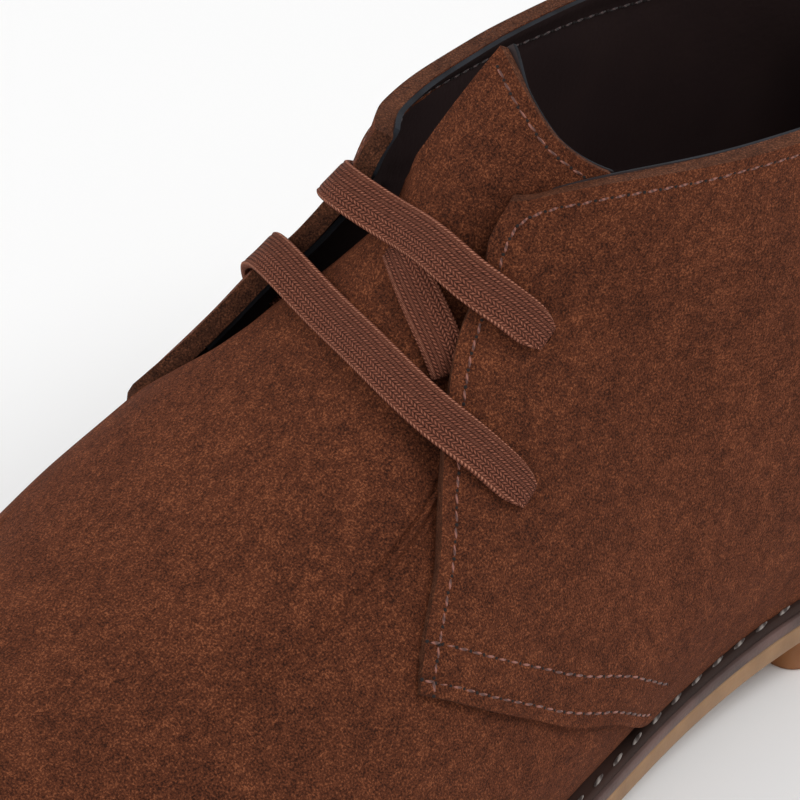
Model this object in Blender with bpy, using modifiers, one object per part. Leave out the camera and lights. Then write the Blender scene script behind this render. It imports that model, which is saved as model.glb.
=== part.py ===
"""A left chukka boot with two pairs of eyelets, in metres.

The toe points to -Y, the outer (lateral) side of the foot to +X and the floor is at Z = 0. The upper,
tongue and sole all follow one last: a tube of sections that fan from the toe, over the heel seat and
up the back of the heel to the collar. A place on the last has a station, 0 at the toe and 1 at the
collar, and a height around its section, 0 at the feather line or back seam and 1 at the ridge.
"""

import math

import bmesh
import bpy
import numpy as np

# Sizes of the last
LAST_LENGTH = 0.283
BALL_WIDTH = 0.093
HEEL_WIDTH = 0.062
ANKLE_WIDTH = 0.072
FRONT_HEIGHT = 0.109
BACK_HEIGHT = 0.0975
SEAT_LIFT = 0.0125
TOE_SPRING = 0.0095

# Leather and clearances
VAMP_WALL = 0.0022
QUARTER_WALL = 0.0024
QUARTER_STEP = 0.0015
TONGUE_WALL = 0.0018
TONGUE_CLEARANCE = 0.0007
TONGUE_TUCK = 0.0012
GAP = 0.0003
LATERAL_BOW = 0.0018
MEDIAL_BOW = 0.0070

# Sole layers
WELT_THICKNESS = 0.0018
WELT_MARGIN = 0.0055
MIDSOLE_THICKNESS = 0.0022
MIDSOLE_MARGIN = 0.0060
OUTSOLE_THICKNESS = 0.0041
OUTSOLE_MARGIN = 0.0056
TREAD_FLAT = 0.0004
INSOLE_THICKNESS = 0.0035
INSOLE_CLEARANCE = 0.0010
HEEL_LENGTH = 0.072
HEEL_MARGIN = 0.0046
HEEL_TAPER = 0.0020
HEEL_CORNER = 0.0060

# Lace and its holes
EYELET_DIAMETER = 0.0042
LACE_WIDTH = 0.0078
LACE_THICKNESS = 0.0016
LACE_CLEARANCE = 0.0017
TONGUE_LACE_LIFT = 0.0024
RUN_WIDTH = 0.0050

# Facets
VAMP_ROWS = 20
VAMP_COLUMNS = 26
QUARTER_ROWS = 26
QUARTER_COLUMNS = 15
TONGUE_ROWS = 14
TONGUE_COLUMNS = 12
SOLE_ROWS = 44
HEEL_CORNER_ROWS = 6
LACE_ROWS = 16

# Share of a station or height over which a normal is taken
NORMAL_SHARE = 0.002

# The sections of the last, toe to collar and on up the tongue. Runs are shares of LAST_LENGTH from the
# heel, top_rise of FRONT_HEIGHT above the bed, foot_rise of BACK_HEIGHT above the heel seat, and both
# side shifts of BALL_WIDTH. Half widths are shares of half the ball, blended by rear towards half the
# heel (foot_half) and half the ankle (side_half). level is the height of the widest place.
LAST_COLUMNS = ("top_run", "top_rise", "foot_run", "foot_rise", "foot_shift", "top_shift",
                "rear", "foot_half", "side_half", "level", "low_curve", "top_curve")
LAST_SECTIONS = (
    (1.002, 0.114, 1.000, 0.000, -0.065, -0.065, 0.00, 0.000, 0.000, 0.30, 2.00, 2.20),
    (0.991, 0.184, 0.990, 0.000, -0.065, -0.065, 0.00, 0.301, 0.333, 0.28, 2.00, 2.20),
    (0.965, 0.268, 0.965, 0.000, -0.059, -0.065, 0.00, 0.516, 0.559, 0.26, 2.00, 2.20),
    (0.919, 0.342, 0.920, 0.000, -0.048, -0.065, 0.00, 0.720, 0.766, 0.25, 2.00, 2.20),
    (0.859, 0.408, 0.860, 0.000, -0.027, -0.065, 0.00, 0.871, 0.925, 0.24, 2.00, 2.20),
    (0.792, 0.475, 0.790, 0.000, 0.000, -0.065, 0.00, 0.968, 1.041, 0.24, 2.00, 2.20),
    (0.721, 0.550, 0.720, 0.000, 0.016, -0.070, 0.00, 1.000, 1.088, 0.24, 2.00, 2.30),
    (0.659, 0.629, 0.650, 0.000, 0.032, -0.070, 0.15, 1.030, 1.118, 0.25, 2.00, 2.35),
    (0.609, 0.696, 0.570, 0.000, 0.043, -0.065, 0.40, 1.030, 1.109, 0.26, 2.00, 2.40),
    (0.578, 0.747, 0.481, 0.000, 0.043, -0.054, 0.70, 1.010, 1.109, 0.28, 2.00, 2.35),
    (0.559, 0.791, 0.389, 0.000, 0.027, -0.043, 0.90, 0.983, 1.099, 0.32, 2.00, 2.30),
    (0.546, 0.826, 0.300, 0.000, 0.011, -0.032, 1.00, 0.984, 1.067, 0.36, 2.00, 2.20),
    (0.536, 0.859, 0.201, 0.000, 0.000, -0.022, 1.00, 1.000, 1.025, 0.40, 2.00, 2.10),
    (0.530, 0.881, 0.120, 0.000, 0.000, -0.013, 1.00, 0.984, 1.006, 0.43, 2.00, 2.05),
    (0.526, 0.897, 0.060, 0.000, 0.000, -0.009, 1.00, 0.871, 1.000, 0.45, 2.00, 2.00),
    (0.522, 0.909, 0.020, 0.000, 0.000, -0.004, 1.00, 0.548, 1.000, 0.46, 2.00, 2.00),
    (0.518, 0.919, 0.005, 0.000, 0.000, 0.000, 1.00, 0.000, 1.000, 0.47, 2.00, 2.00),
    (0.514, 0.932, -0.005, 0.149, 0.000, 0.000, 1.00, 0.000, 1.000, 0.48, 2.05, 2.00),
    (0.511, 0.944, -0.007, 0.313, 0.000, 0.000, 1.00, 0.000, 1.000, 0.48, 2.10, 2.00),
    (0.507, 0.958, -0.002, 0.482, 0.000, 0.000, 1.00, 0.000, 0.992, 0.48, 2.15, 2.05),
    (0.504, 0.973, 0.009, 0.656, 0.000, 0.000, 1.00, 0.000, 0.981, 0.48, 2.20, 2.10),
    (0.500, 0.987, 0.019, 0.831, 0.000, 0.000, 1.00, 0.000, 0.972, 0.48, 2.20, 2.15),
    (0.497, 1.003, 0.028, 1.000, 0.000, 0.000, 1.00, 0.000, 0.972, 0.48, 2.20, 2.20),
    (0.472, 1.100, 0.034, 1.144, 0.000, 0.000, 1.00, 0.000, 0.986, 0.48, 2.20, 2.20),
    (0.447, 1.204, 0.037, 1.297, 0.000, 0.000, 1.00, 0.000, 1.000, 0.48, 2.20, 2.20),
)
SEAT_SECTION = 16
COLLAR_SECTION = 22

# The bed under the upper: shares of SEAT_LIFT and TOE_SPRING along the last
BED_SECTIONS = (
    # run, seat, spring
    (-0.02, 1.010, 0.000),
    (0.12, 0.944, 0.000),
    (0.25, 0.848, 0.000),
    (0.40, 0.576, 0.000),
    (0.52, 0.288, 0.000),
    (0.62, 0.080, 0.000),
    (0.72, 0.000, 0.000),
    (0.80, 0.000, 0.063),
    (0.90, 0.000, 0.400),
    (1.02, 0.000, 1.100),
)

# The quarters' edges as heights at stations, from their front corner to the collar. foot is the lower
# edge that runs back to the feather line, facing the edge beside the throat.
LATERAL_QUARTER = (
    # station, foot, facing
    (0.403, 0.593, 0.593),
    (0.421, 0.554, 0.640),
    (0.455, 0.478, 0.694),
    (0.484, 0.412, 0.740),
    (0.511, 0.343, 0.773),
    (0.540, 0.259, 0.800),
    (0.568, 0.086, 0.820),
    (0.632, 0.000, 0.849),
    (0.707, 0.000, 0.863),
    (0.866, 0.000, 0.892),
    (1.000, 0.000, 0.890),
)
MEDIAL_QUARTER = (
    # station, foot, facing
    (0.425, 0.705, 0.705),
    (0.440, 0.655, 0.742),
    (0.459, 0.590, 0.766),
    (0.480, 0.500, 0.785),
    (0.511, 0.390, 0.800),
    (0.540, 0.262, 0.815),
    (0.570, 0.080, 0.825),
    (0.632, 0.000, 0.840),
    (0.707, 0.000, 0.853),
    (0.866, 0.000, 0.885),
    (1.000, 0.000, 0.881),
)
# The collar's station at heights around it, and the end of the vamp under the quarters
COLLAR_LINE = (
    # height, lateral, medial
    (0.00, 1.002, 1.002),
    (0.45, 1.008, 0.996),
    (0.70, 1.014, 0.990),
    (0.80, 1.010, 0.992),
    (0.86, 0.996, 1.002),
    (0.90, 0.975, 0.996),
)
# How much of its bow each facing stands off, as a share at stations
BOW_PROFILE = (
    # station, lateral, medial
    (0.40, 0.00, 0.00),
    (0.46, 0.27, 0.06),
    (0.50, 0.47, 0.30),
    (0.55, 0.68, 0.51),
    (0.61, 0.87, 0.68),
    (0.70, 1.00, 0.88),
    (0.80, 0.87, 1.00),
    (0.86, 0.66, 0.97),
    (0.93, 0.36, 0.82),
    (1.00, 0.04, 0.50),
)
VAMP_END = (
    # height, lateral, medial
    (0.00, 0.620, 0.620),
    (0.26, 0.585, 0.590),
    (0.41, 0.530, 0.560),
    (0.55, 0.480, 0.530),
    (0.64, 0.462, 0.505),
    (0.75, 0.455, 0.472),
    (1.00, 0.455, 0.455),
)
TONGUE_TOP = (
    # height, lateral, medial
    (0.70, 0.992, 0.800),
    (0.78, 1.012, 0.835),
    (0.84, 1.027, 0.865),
    (0.89, 1.040, 0.905),
    (0.92, 1.050, 0.957),
    (0.95, 1.060, 1.008),
    (0.975, 1.068, 1.040),
    (1.00, 1.076, 1.076),
)
# Shares of the height around a section: how far the tongue runs under a facing and stays sunk past it,
# the band of a quarter that the bow lifts, and how far past a facing a bar of the lace stays up
TONGUE_LAP_SHARE = 0.11
TONGUE_RAMP_SHARE = 0.07
BOW_SHARE = 0.26
BAR_LAP_SHARE = 0.017
# Eyelets as station and height on the lateral and the medial side, upper pair first
EYELETS = (
    ((0.722, 0.772), (0.790, 0.772)),
    ((0.562, 0.655), (0.600, 0.690)),
)
# The stations where each bar crosses its facings' edges and, at BAR_TOP_HEIGHT, the tongue's ridge,
# lateral then medial, the upper bar first
BAR_CROSSINGS = ((0.760, 0.790), (0.548, 0.600))
BAR_TOPS = ((0.768, 0.785), (0.566, 0.582))
BAR_TOP_HEIGHT = 0.96
# The run's places on the tongue between the bars: station and how far below the ridge, medial below 0
LACE_RUN = (
    (0.745, -0.015),
    (0.712, 0.020),
    (0.682, 0.050),
    (0.652, 0.072),
    (0.625, 0.092),
)
# How far along from the lower bar's crossing to its top the run meets it
RUN_END_SHARE = 0.45


def smooth_curve(places, values):
    """A natural cubic spline through the values at rising places."""
    places = np.asarray(places, float)
    values = np.asarray(values, float)
    count = len(places)
    steps = np.diff(places)
    slopes = np.diff(values) / steps
    system = np.zeros((count, count))
    right = np.zeros(count)
    system[0, 0] = system[-1, -1] = 1.0
    for i in range(1, count - 1):
        system[i, i - 1:i + 2] = steps[i - 1], 2 * (steps[i - 1] + steps[i]), steps[i]
        right[i] = 6 * (slopes[i] - slopes[i - 1])
    bend = np.linalg.solve(system, right)

    def curve(at):
        at = np.clip(np.asarray(at, float), places[0], places[-1])
        i = np.clip(np.searchsorted(places, at) - 1, 0, count - 2)
        step = steps[i]
        ahead = (at - places[i]) / step
        behind = 1 - ahead
        curl = bend[i] * (behind ** 3 - behind) + bend[i + 1] * (ahead ** 3 - ahead)
        return behind * values[i] + ahead * values[i + 1] + curl * step ** 2 / 6

    return curve


def ease(share):
    """0 to 1 with a level start and end."""
    share = np.clip(share, 0.0, 1.0)
    return share * share * (3 - 2 * share)


def table_curves(rows):
    """A curve for each column after the first, which holds the places."""
    table = np.array(rows)
    return [smooth_curve(table[:, 0], column) for column in table.T[1:]]


STACK = WELT_THICKNESS + MIDSOLE_THICKNESS + OUTSOLE_THICKNESS + 3 * GAP
SEAT_CURVE, SPRING_CURVE = table_curves(BED_SECTIONS)


def bed(run):
    """Height of the feather line above the floor at a run from the heel, in metres."""
    share = run / LAST_LENGTH
    return STACK + SEAT_LIFT * SEAT_CURVE(share) + TOE_SPRING * SPRING_CURVE(share)


def last_sections():
    """The sections' sizes in metres, one column a name, and the station of each section."""
    share = dict(zip(LAST_COLUMNS, np.array(LAST_SECTIONS).T))
    rear = share["rear"]
    foot_base = BALL_WIDTH / 2 * (1 - rear) + HEEL_WIDTH / 2 * rear
    side_base = BALL_WIDTH / 2 * (1 - rear) + ANKLE_WIDTH / 2 * rear
    sizes = {
        "top_run": share["top_run"] * LAST_LENGTH,
        "foot_run": share["foot_run"] * LAST_LENGTH,
        "foot_shift": share["foot_shift"] * BALL_WIDTH,
        "top_shift": share["top_shift"] * BALL_WIDTH,
        "foot_half": share["foot_half"] * foot_base,
        "side_half": share["side_half"] * side_base,
        "level": share["level"],
        "low_curve": share["low_curve"],
        "top_curve": share["top_curve"],
    }
    sizes["top_height"] = bed(sizes["top_run"]) + share["top_rise"] * FRONT_HEIGHT
    sizes["foot_height"] = bed(sizes["foot_run"]) + share["foot_rise"] * BACK_HEIGHT
    ridge = np.stack([sizes["top_run"], sizes["top_height"]], 1)
    foot = np.stack([sizes["foot_run"], sizes["foot_height"], sizes["foot_half"]], 1)
    side_run = sizes["foot_run"] + (sizes["top_run"] - sizes["foot_run"]) * sizes["level"]
    side_height = sizes["foot_height"] + (sizes["top_height"] - sizes["foot_height"]) * sizes["level"]
    side = np.stack([side_run, side_height, sizes["side_half"]], 1)
    walk = sum(np.linalg.norm(np.diff(path, axis=0), axis=1) for path in (ridge, foot, side))
    stations = np.concatenate([[0.0], np.cumsum(walk)])
    return sizes, stations / stations[COLLAR_SECTION]


SECTION_SIZES, STATIONS = last_sections()
SECTION_CURVES = {name: smooth_curve(STATIONS, sizes) for name, sizes in SECTION_SIZES.items()}
SEAT_STATION = STATIONS[SEAT_SECTION]


def section(station):
    """The last's sizes at a station."""
    sizes = {name: curve(station) for name, curve in SECTION_CURVES.items()}
    sizes["side_half"] = np.maximum(sizes["side_half"], 1e-6)
    foot_half = np.where(np.asarray(station) < SEAT_STATION, sizes["foot_half"], 0.0)
    sizes["foot_half"] = np.clip(foot_half, 0.0, sizes["side_half"])
    return sizes


def feather_outline(margin, count):
    """Points (side, run) of the feather line moved out by a margin: the lateral and the medial side."""
    sizes = section(np.linspace(0.0, SEAT_STATION, count))
    edges = []
    for side in (1, -1):
        x = sizes["foot_shift"] + side * sizes["foot_half"]
        line = np.stack([x, sizes["foot_run"]], 1)
        along = np.gradient(line, axis=0)
        along[0] = (side, 0.0)
        along[-1] = (-side, 0.0)
        along /= np.linalg.norm(along, axis=1)[:, None]
        out = np.stack([-along[:, 1], along[:, 0]], 1) * side
        edges.append(line + margin * out)
    return edges


def overall_middle():
    """The middle of the widest sole layer, (side, run)."""
    edges = np.concatenate(feather_outline(MIDSOLE_MARGIN, 400))
    return (edges.max(axis=0) + edges.min(axis=0)) / 2


SIDE_MIDDLE, RUN_MIDDLE = overall_middle()


def in_world(side, run, height):
    """A place given across, from the heel forward and up, as X, Y, Z."""
    return np.stack([side - SIDE_MIDDLE, RUN_MIDDLE - run, height + 0 * side], -1)


def last_surface(station, height, side):
    """The last's outer surface: side is 1 on the lateral half and -1 on the medial."""
    size = section(station)
    level = size["level"]
    rise = np.sin(np.clip(height, 0.0, 1.0) * math.pi / 2) ** 2
    low = np.clip((level - rise) / level, 0, 1) ** size["low_curve"]
    narrow = 1 - (size["foot_half"] / size["side_half"]) ** size["low_curve"]
    high = np.clip((rise - level) / (1 - level), 0, 1) ** size["top_curve"]
    below = (1 - narrow * low) ** (1 / size["low_curve"])
    above = np.maximum(1 - high, 0) ** (1 / size["top_curve"])
    half = size["side_half"] * np.where(rise < level, below, above)
    shift = size["foot_shift"] + (size["top_shift"] - size["foot_shift"]) * ease(rise)
    run = size["foot_run"] + (size["top_run"] - size["foot_run"]) * rise
    up = size["foot_height"] + (size["top_height"] - size["foot_height"]) * rise
    return in_world(shift + side * half, run, up)


def last_normal(station, height, side):
    """The outward normal of the last's surface."""
    step = NORMAL_SHARE
    ahead = last_surface(station + step, height, side)
    behind = last_surface(np.maximum(station - step, 0.0), height, side)
    above = last_surface(station, np.minimum(height + step, 1.0), side)
    below = last_surface(station, np.maximum(height - step, 0.0), side)
    normal = np.cross(ahead - behind, above - below) * np.asarray(side)[..., None]
    return normal / np.maximum(np.linalg.norm(normal, axis=-1, keepdims=True), 1e-12)


def on_last(station, height, side, lift):
    """A place that stands a lift off the last."""
    station, height, side, lift = np.broadcast_arrays(station, height, side, lift)
    side = side.astype(float)
    return last_surface(station, height, side) + last_normal(station, height, side) * lift[..., None]


class Quarter:
    """One quarter's edges and how far it stands off the last."""

    def __init__(self, side, rows, bow):
        own_column = 0 if side > 0 else 1
        self.side = side
        self.bow = bow
        self.corner = rows[0][0]
        foot, self.facing = table_curves(rows)
        self.foot = lambda station: np.where(station < SEAT_STATION, np.maximum(foot(station), 0), 0)
        self.collar = table_curves(COLLAR_LINE)[own_column]
        self.vamp_end = table_curves(VAMP_END)[own_column]
        self.bow_share = table_curves(BOW_PROFILE)[own_column]
        self.tongue_top = table_curves(TONGUE_TOP)[own_column]

    def lift(self, station, height):
        """The outer face's distance from the last: the step, and the facing's bow off the tongue."""
        across = ease(1 - (self.facing(station) - height) / BOW_SHARE)
        return QUARTER_STEP + self.bow * self.bow_share(station) * across

    def place(self, along, across):
        """Station and height at shares from the corner to the collar and from foot to facing."""
        station = self.corner + (1 - self.corner) * along
        low = self.foot(station)
        height = low + (self.facing(station) - low) * across
        stretch = (self.collar(height) - self.corner) / (1 - self.corner)
        return self.corner + (station - self.corner) * stretch, height


LATERAL = Quarter(1, LATERAL_QUARTER, LATERAL_BOW)
MEDIAL = Quarter(-1, MEDIAL_QUARTER, MEDIAL_BOW)


def across_throat(share):
    """Height and side at a share from the lateral feather line over the ridge to the medial one."""
    return 1 - np.abs(2 * share - 1), np.where(share < 0.5, 1.0, -1.0)


def both_sides(side, height, curve_name):
    """A quarter's curve at a height, from the quarter on that side."""
    lateral = getattr(LATERAL, curve_name)(height)
    medial = getattr(MEDIAL, curve_name)(height)
    return np.where(side > 0, lateral, medial)


def new_collection(name):
    collection = bpy.data.collections.new(name)
    bpy.context.scene.collection.children.link(collection)
    return collection


def material(name, red, green, blue, roughness):
    """A matt material of an sRGB colour given in 0 to 255."""
    made = bpy.data.materials.new(name)
    made.use_nodes = True
    shader = made.node_tree.nodes["Principled BSDF"]
    linear = [((channel / 255 + 0.055) / 1.055) ** 2.4 for channel in (red, green, blue)]
    shader.inputs["Base Color"].default_value = (*linear, 1.0)
    shader.inputs["Roughness"].default_value = roughness
    shader.inputs["Metallic"].default_value = 0.0
    made.diffuse_color = (*linear, 1.0)
    return made


def add_object(name, mesh, collection, finish=None):
    """An object of a bmesh, which is freed."""
    data = bpy.data.meshes.new(name)
    mesh.to_mesh(data)
    mesh.free()
    data.shade_smooth()
    made = bpy.data.objects.new(name, data)
    collection.objects.link(made)
    if finish:
        data.materials.append(finish)
    return made


def add_panel(mesh, rows, columns, place, flip=False):
    """A grid of quads put in place by shares along its rows and columns."""
    verts = bmesh.ops.create_grid(mesh, x_segments=rows, y_segments=columns, size=0.5)["verts"]
    shares = np.array([vert.co[:2] for vert in verts]) + 0.5
    for vert, point in zip(verts, place(shares[:, 0], shares[:, 1])):
        vert.co = point
    if flip:
        faces = list({face for vert in verts for face in vert.link_faces})
        bmesh.ops.reverse_faces(mesh, faces=faces)


def weld(mesh):
    bmesh.ops.remove_doubles(mesh, verts=mesh.verts, dist=1e-6)


def add_solidify(item, thickness, offset=-1.0):
    modifier = item.modifiers.new("wall", "SOLIDIFY")
    modifier.thickness = thickness
    modifier.offset = offset


def add_boolean(item, operation, cutter):
    modifier = item.modifiers.new(operation.lower() + "_" + cutter.name, "BOOLEAN")
    modifier.operation = operation
    modifier.solver = "EXACT"
    modifier.object = cutter


def as_guide(item):
    item.hide_render = True
    item.display_type = "WIRE"


def vamp_panel():
    mesh = bmesh.new()

    def place(along, across):
        height, side = across_throat(across)
        station = both_sides(side, height, "vamp_end") * along
        return on_last(station, height, side, 0.0)

    add_panel(mesh, VAMP_ROWS, VAMP_COLUMNS, place)
    weld(mesh)
    return mesh


def quarter_panels():
    mesh = bmesh.new()
    for quarter in (LATERAL, MEDIAL):

        def place(along, across, quarter=quarter):
            station, height = quarter.place(along, across)
            return on_last(station, height, quarter.side, quarter.lift(station, height))

        add_panel(mesh, QUARTER_ROWS, QUARTER_COLUMNS, place, flip=quarter.side < 0)
    weld(mesh)
    return mesh


def tongue_sink(station, height, side):
    """How far the tongue lies below the last, so that it clears the quarters' inner faces."""
    facing = both_sides(side, station, "facing")
    under = QUARTER_WALL - QUARTER_STEP + TONGUE_CLEARANCE
    beside = ease((facing + TONGUE_RAMP_SHARE - height) / TONGUE_RAMP_SHARE)
    tucked = ease((facing - height) / TONGUE_LAP_SHARE)
    return under * beside + TONGUE_TUCK * tucked


def tongue_panel():
    mesh = bmesh.new()

    def place(along, across):
        share = 2 * across - 1
        side = np.where(share < 0, 1.0, -1.0)
        station = np.full_like(along, 0.5)
        height = np.ones_like(along)
        for _ in range(6):
            edge = both_sides(side, np.minimum(station, 1.0), "facing") - TONGUE_LAP_SHARE
            height = 1 - (1 - edge) * np.abs(share)
            first = both_sides(side, height, "vamp_end")
            ahead = last_surface(first + NORMAL_SHARE, height, side)
            behind = last_surface(first - NORMAL_SHARE, height, side)
            speed = np.linalg.norm(ahead - behind, axis=-1) / (2 * NORMAL_SHARE)
            first = first + 2 * GAP / speed
            station = first + (both_sides(side, height, "tongue_top") - first) * along
        return on_last(station, height, side, -tongue_sink(station, height, side))

    add_panel(mesh, TONGUE_ROWS, TONGUE_COLUMNS, place)
    weld(mesh)
    return mesh


def eyelet_place(quarter, eyelet, lift=0.0):
    """An eyelet's middle, a lift above the quarter's outer face, and the outward normal there."""
    station, height = (np.float64(value) for value in eyelet)
    stand = quarter.lift(station, height) + lift
    side = np.float64(quarter.side)
    return on_last(station, height, side, stand), last_normal(station, height, side)


def eyelet_cutter(name, quarter, eyelet, collection):
    """A punch through the quarter's wall."""
    mesh = bmesh.new()
    radius = EYELET_DIAMETER / 2
    bmesh.ops.create_cone(mesh, cap_ends=True, segments=10, radius1=radius, radius2=radius,
                          depth=4 * QUARTER_WALL)
    middle, normal = eyelet_place(quarter, eyelet)
    turn = np.array([0.0, 0.0, 1.0])
    first = np.cross(turn, normal)
    first /= np.linalg.norm(first)
    second = np.cross(normal, first)
    for vert in mesh.verts:
        x, y, z = vert.co
        vert.co = middle + first * x + second * y + normal * z
    item = add_object(name, mesh, collection)
    as_guide(item)
    return item


def strip_panel(centres, normals, width):
    """A flat strip along its centres, square to its normals."""
    mesh = bmesh.new()
    centres = np.array(centres)
    along = np.gradient(centres, axis=0)
    across = np.cross(normals, along)
    across /= np.linalg.norm(across, axis=1)[:, None]
    row_curves = [smooth_curve(np.linspace(0, 1, len(centres)), axis) for axis in centres.T]
    side_curves = [smooth_curve(np.linspace(0, 1, len(centres)), axis) for axis in across.T]

    def place(share, side):
        centre = np.stack([curve(share) for curve in row_curves], -1)
        sideways = np.stack([curve(share) for curve in side_curves], -1)
        return centre + sideways * ((side - 0.5) * width)[:, None]

    add_panel(mesh, LACE_ROWS, 2, place)
    return mesh


def lace_stand():
    """The lace's middle above the outer face that it lies on."""
    return LACE_CLEARANCE + LACE_THICKNESS / 2


def bar_line(pair, crossings, tops):
    """Middles and normals of a bar: over the lateral facing, the tongue's ridge and the medial facing."""
    halves = []
    for quarter, (station, height), crossing, top in zip((LATERAL, MEDIAL), pair, crossings, tops):
        share = np.linspace(0, 1, 4)
        at = station + (crossing - station) * share
        up = height + (float(quarter.facing(crossing)) + BAR_LAP_SHARE - height) * share
        lift = quarter.lift(at, up) + lace_stand()
        at, up, lift = np.append(at, top), np.append(up, BAR_TOP_HEIGHT), np.append(lift, TONGUE_LACE_LIFT)
        side = np.full(len(at), float(quarter.side))
        halves.append((on_last(at, up, side, lift), last_normal(at, up, side)))
    (lateral, lateral_normals), (medial, medial_normals) = halves
    return np.concatenate([lateral, medial[::-1]]), np.concatenate([lateral_normals, medial_normals[::-1]])


def lace_guides(collection):
    """The two bars and the run between them, each a solid strip; they overlap where they meet."""
    upper, upper_up = bar_line(EYELETS[0], BAR_CROSSINGS[0], BAR_TOPS[0])
    lower, lower_up = bar_line(EYELETS[1], BAR_CROSSINGS[1], BAR_TOPS[1])
    station, across = np.array(LACE_RUN).T
    side = np.where(across < 0, -1.0, 1.0)
    run = on_last(station, 1 - np.abs(across), side, TONGUE_LACE_LIFT)
    run_up = last_normal(station, 1 - np.abs(across), side)
    end = lower[3] + (lower[4] - lower[3]) * RUN_END_SHARE
    run = np.concatenate([upper[5:6], run, [end]])
    run_up = np.concatenate([upper_up[5:6], run_up, lower_up[4:5]])
    lines = {
        "lace_bar_upper": (upper, upper_up, LACE_WIDTH),
        "lace_bar_lower": (lower, lower_up, LACE_WIDTH),
        "lace_run": (run, run_up, RUN_WIDTH),
    }
    made = {}
    for name, (points, normals, width) in lines.items():
        item = add_object(name, strip_panel(points, normals, width), collection)
        add_solidify(item, LACE_THICKNESS, offset=0.0)
        made[name] = item
    return made


def sole_outline(margin):
    """The whole feather line moved out by a margin, as its lateral and medial edge."""
    return feather_outline(margin, SOLE_ROWS)


def heel_outline(margin):
    """The heel's lateral and medial edge from the breast to the rear, with rounded breast corners."""
    turn = np.linspace(0, math.pi / 2, HEEL_CORNER_ROWS)
    edges = []
    for side, edge in zip((1, -1), feather_outline(margin, 8 * SOLE_ROWS)):
        rear_first = edge[::-1]
        run = HEEL_LENGTH - HEEL_CORNER * (1 - np.cos(turn))
        across = np.interp(run, rear_first[:, 1], rear_first[:, 0]) - side * HEEL_CORNER * (1 - np.sin(turn))
        corner = np.stack([across, run], 1)
        rest = edge[edge[:, 1] < run[-1]]
        picks = np.linspace(0, len(rest) - 1, SOLE_ROWS // 2).astype(int)
        edges.append(np.concatenate([corner, rest[picks][1:]]))
    return edges


def plate(mesh, margin, top, bottom, inner=None, bottom_margin=None, outline=sole_outline):
    """A sole layer between two heights over the bed's curve, as a closed body.

    top and bottom give heights at a run. With an inner margin the layer is a ring.
    """
    bottom_margin = margin if bottom_margin is None else bottom_margin

    def ring_at(face_margin, height):
        lateral, medial = outline(face_margin)
        line = np.concatenate([lateral, medial[::-1]])
        return [mesh.verts.new(point) for point in in_world(line[:, 0], line[:, 1], height(line[:, 1]))]

    upper, lower = ring_at(margin, top), ring_at(bottom_margin, bottom)
    size = len(upper)
    if inner is None:
        for ring, turned in ((upper, False), (lower, True)):
            for i in range(size // 2 - 1):
                corners = [ring[i], ring[i + 1], ring[size - 2 - i], ring[size - 1 - i]]
                mesh.faces.new(corners[::-1] if turned else corners)
        walls = [(upper, lower)]
    else:
        upper_inner, lower_inner = ring_at(inner, top), ring_at(inner, bottom)
        walls = [(upper, lower), (lower_inner, upper_inner), (upper_inner, upper), (lower, lower_inner)]
    for first_ring, second_ring in walls:
        for i in range(size):
            j = (i + 1) % size
            mesh.faces.new([first_ring[i], second_ring[i], second_ring[j], first_ring[j]])
    weld(mesh)
    bmesh.ops.recalc_face_normals(mesh, faces=mesh.faces)


def welt_top(run):
    return bed(run) - GAP


def midsole_top(run):
    return welt_top(run) - WELT_THICKNESS - GAP


def outsole_top(run):
    return midsole_top(run) - MIDSOLE_THICKNESS - GAP


def outsole_bottom(run):
    return np.maximum(outsole_top(run) - OUTSOLE_THICKNESS - TREAD_FLAT, 0.0)


def make_sole(collection, finishes):
    mesh = bmesh.new()
    plate(mesh, WELT_MARGIN, welt_top, lambda run: welt_top(run) - WELT_THICKNESS, inner=-VAMP_WALL)
    add_object("welt", mesh, collection, finishes["welt"])

    mesh = bmesh.new()
    plate(mesh, MIDSOLE_MARGIN, midsole_top, lambda run: midsole_top(run) - MIDSOLE_THICKNESS)
    add_object("midsole", mesh, collection, finishes["midsole"])

    mesh = bmesh.new()
    plate(mesh, OUTSOLE_MARGIN, outsole_top, outsole_bottom)
    add_object("outsole", mesh, collection, finishes["outsole"])

    mesh = bmesh.new()
    insole_bottom = lambda run: midsole_top(run) + GAP
    insole_top = lambda run: insole_bottom(run) + INSOLE_THICKNESS
    plate(mesh, -VAMP_WALL - INSOLE_CLEARANCE, insole_top, insole_bottom)
    add_object("insole", mesh, collection, finishes["insole"])


def make_heel(collection, finish):
    """The heel block: the sole's rear outline down to the floor, a little smaller there."""
    mesh = bmesh.new()
    plate(mesh, HEEL_MARGIN, lambda run: outsole_bottom(run) - GAP, lambda run: 0.0 * run,
          bottom_margin=HEEL_MARGIN - HEEL_TAPER, outline=heel_outline)
    add_object("heel", mesh, collection, finish)


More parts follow.
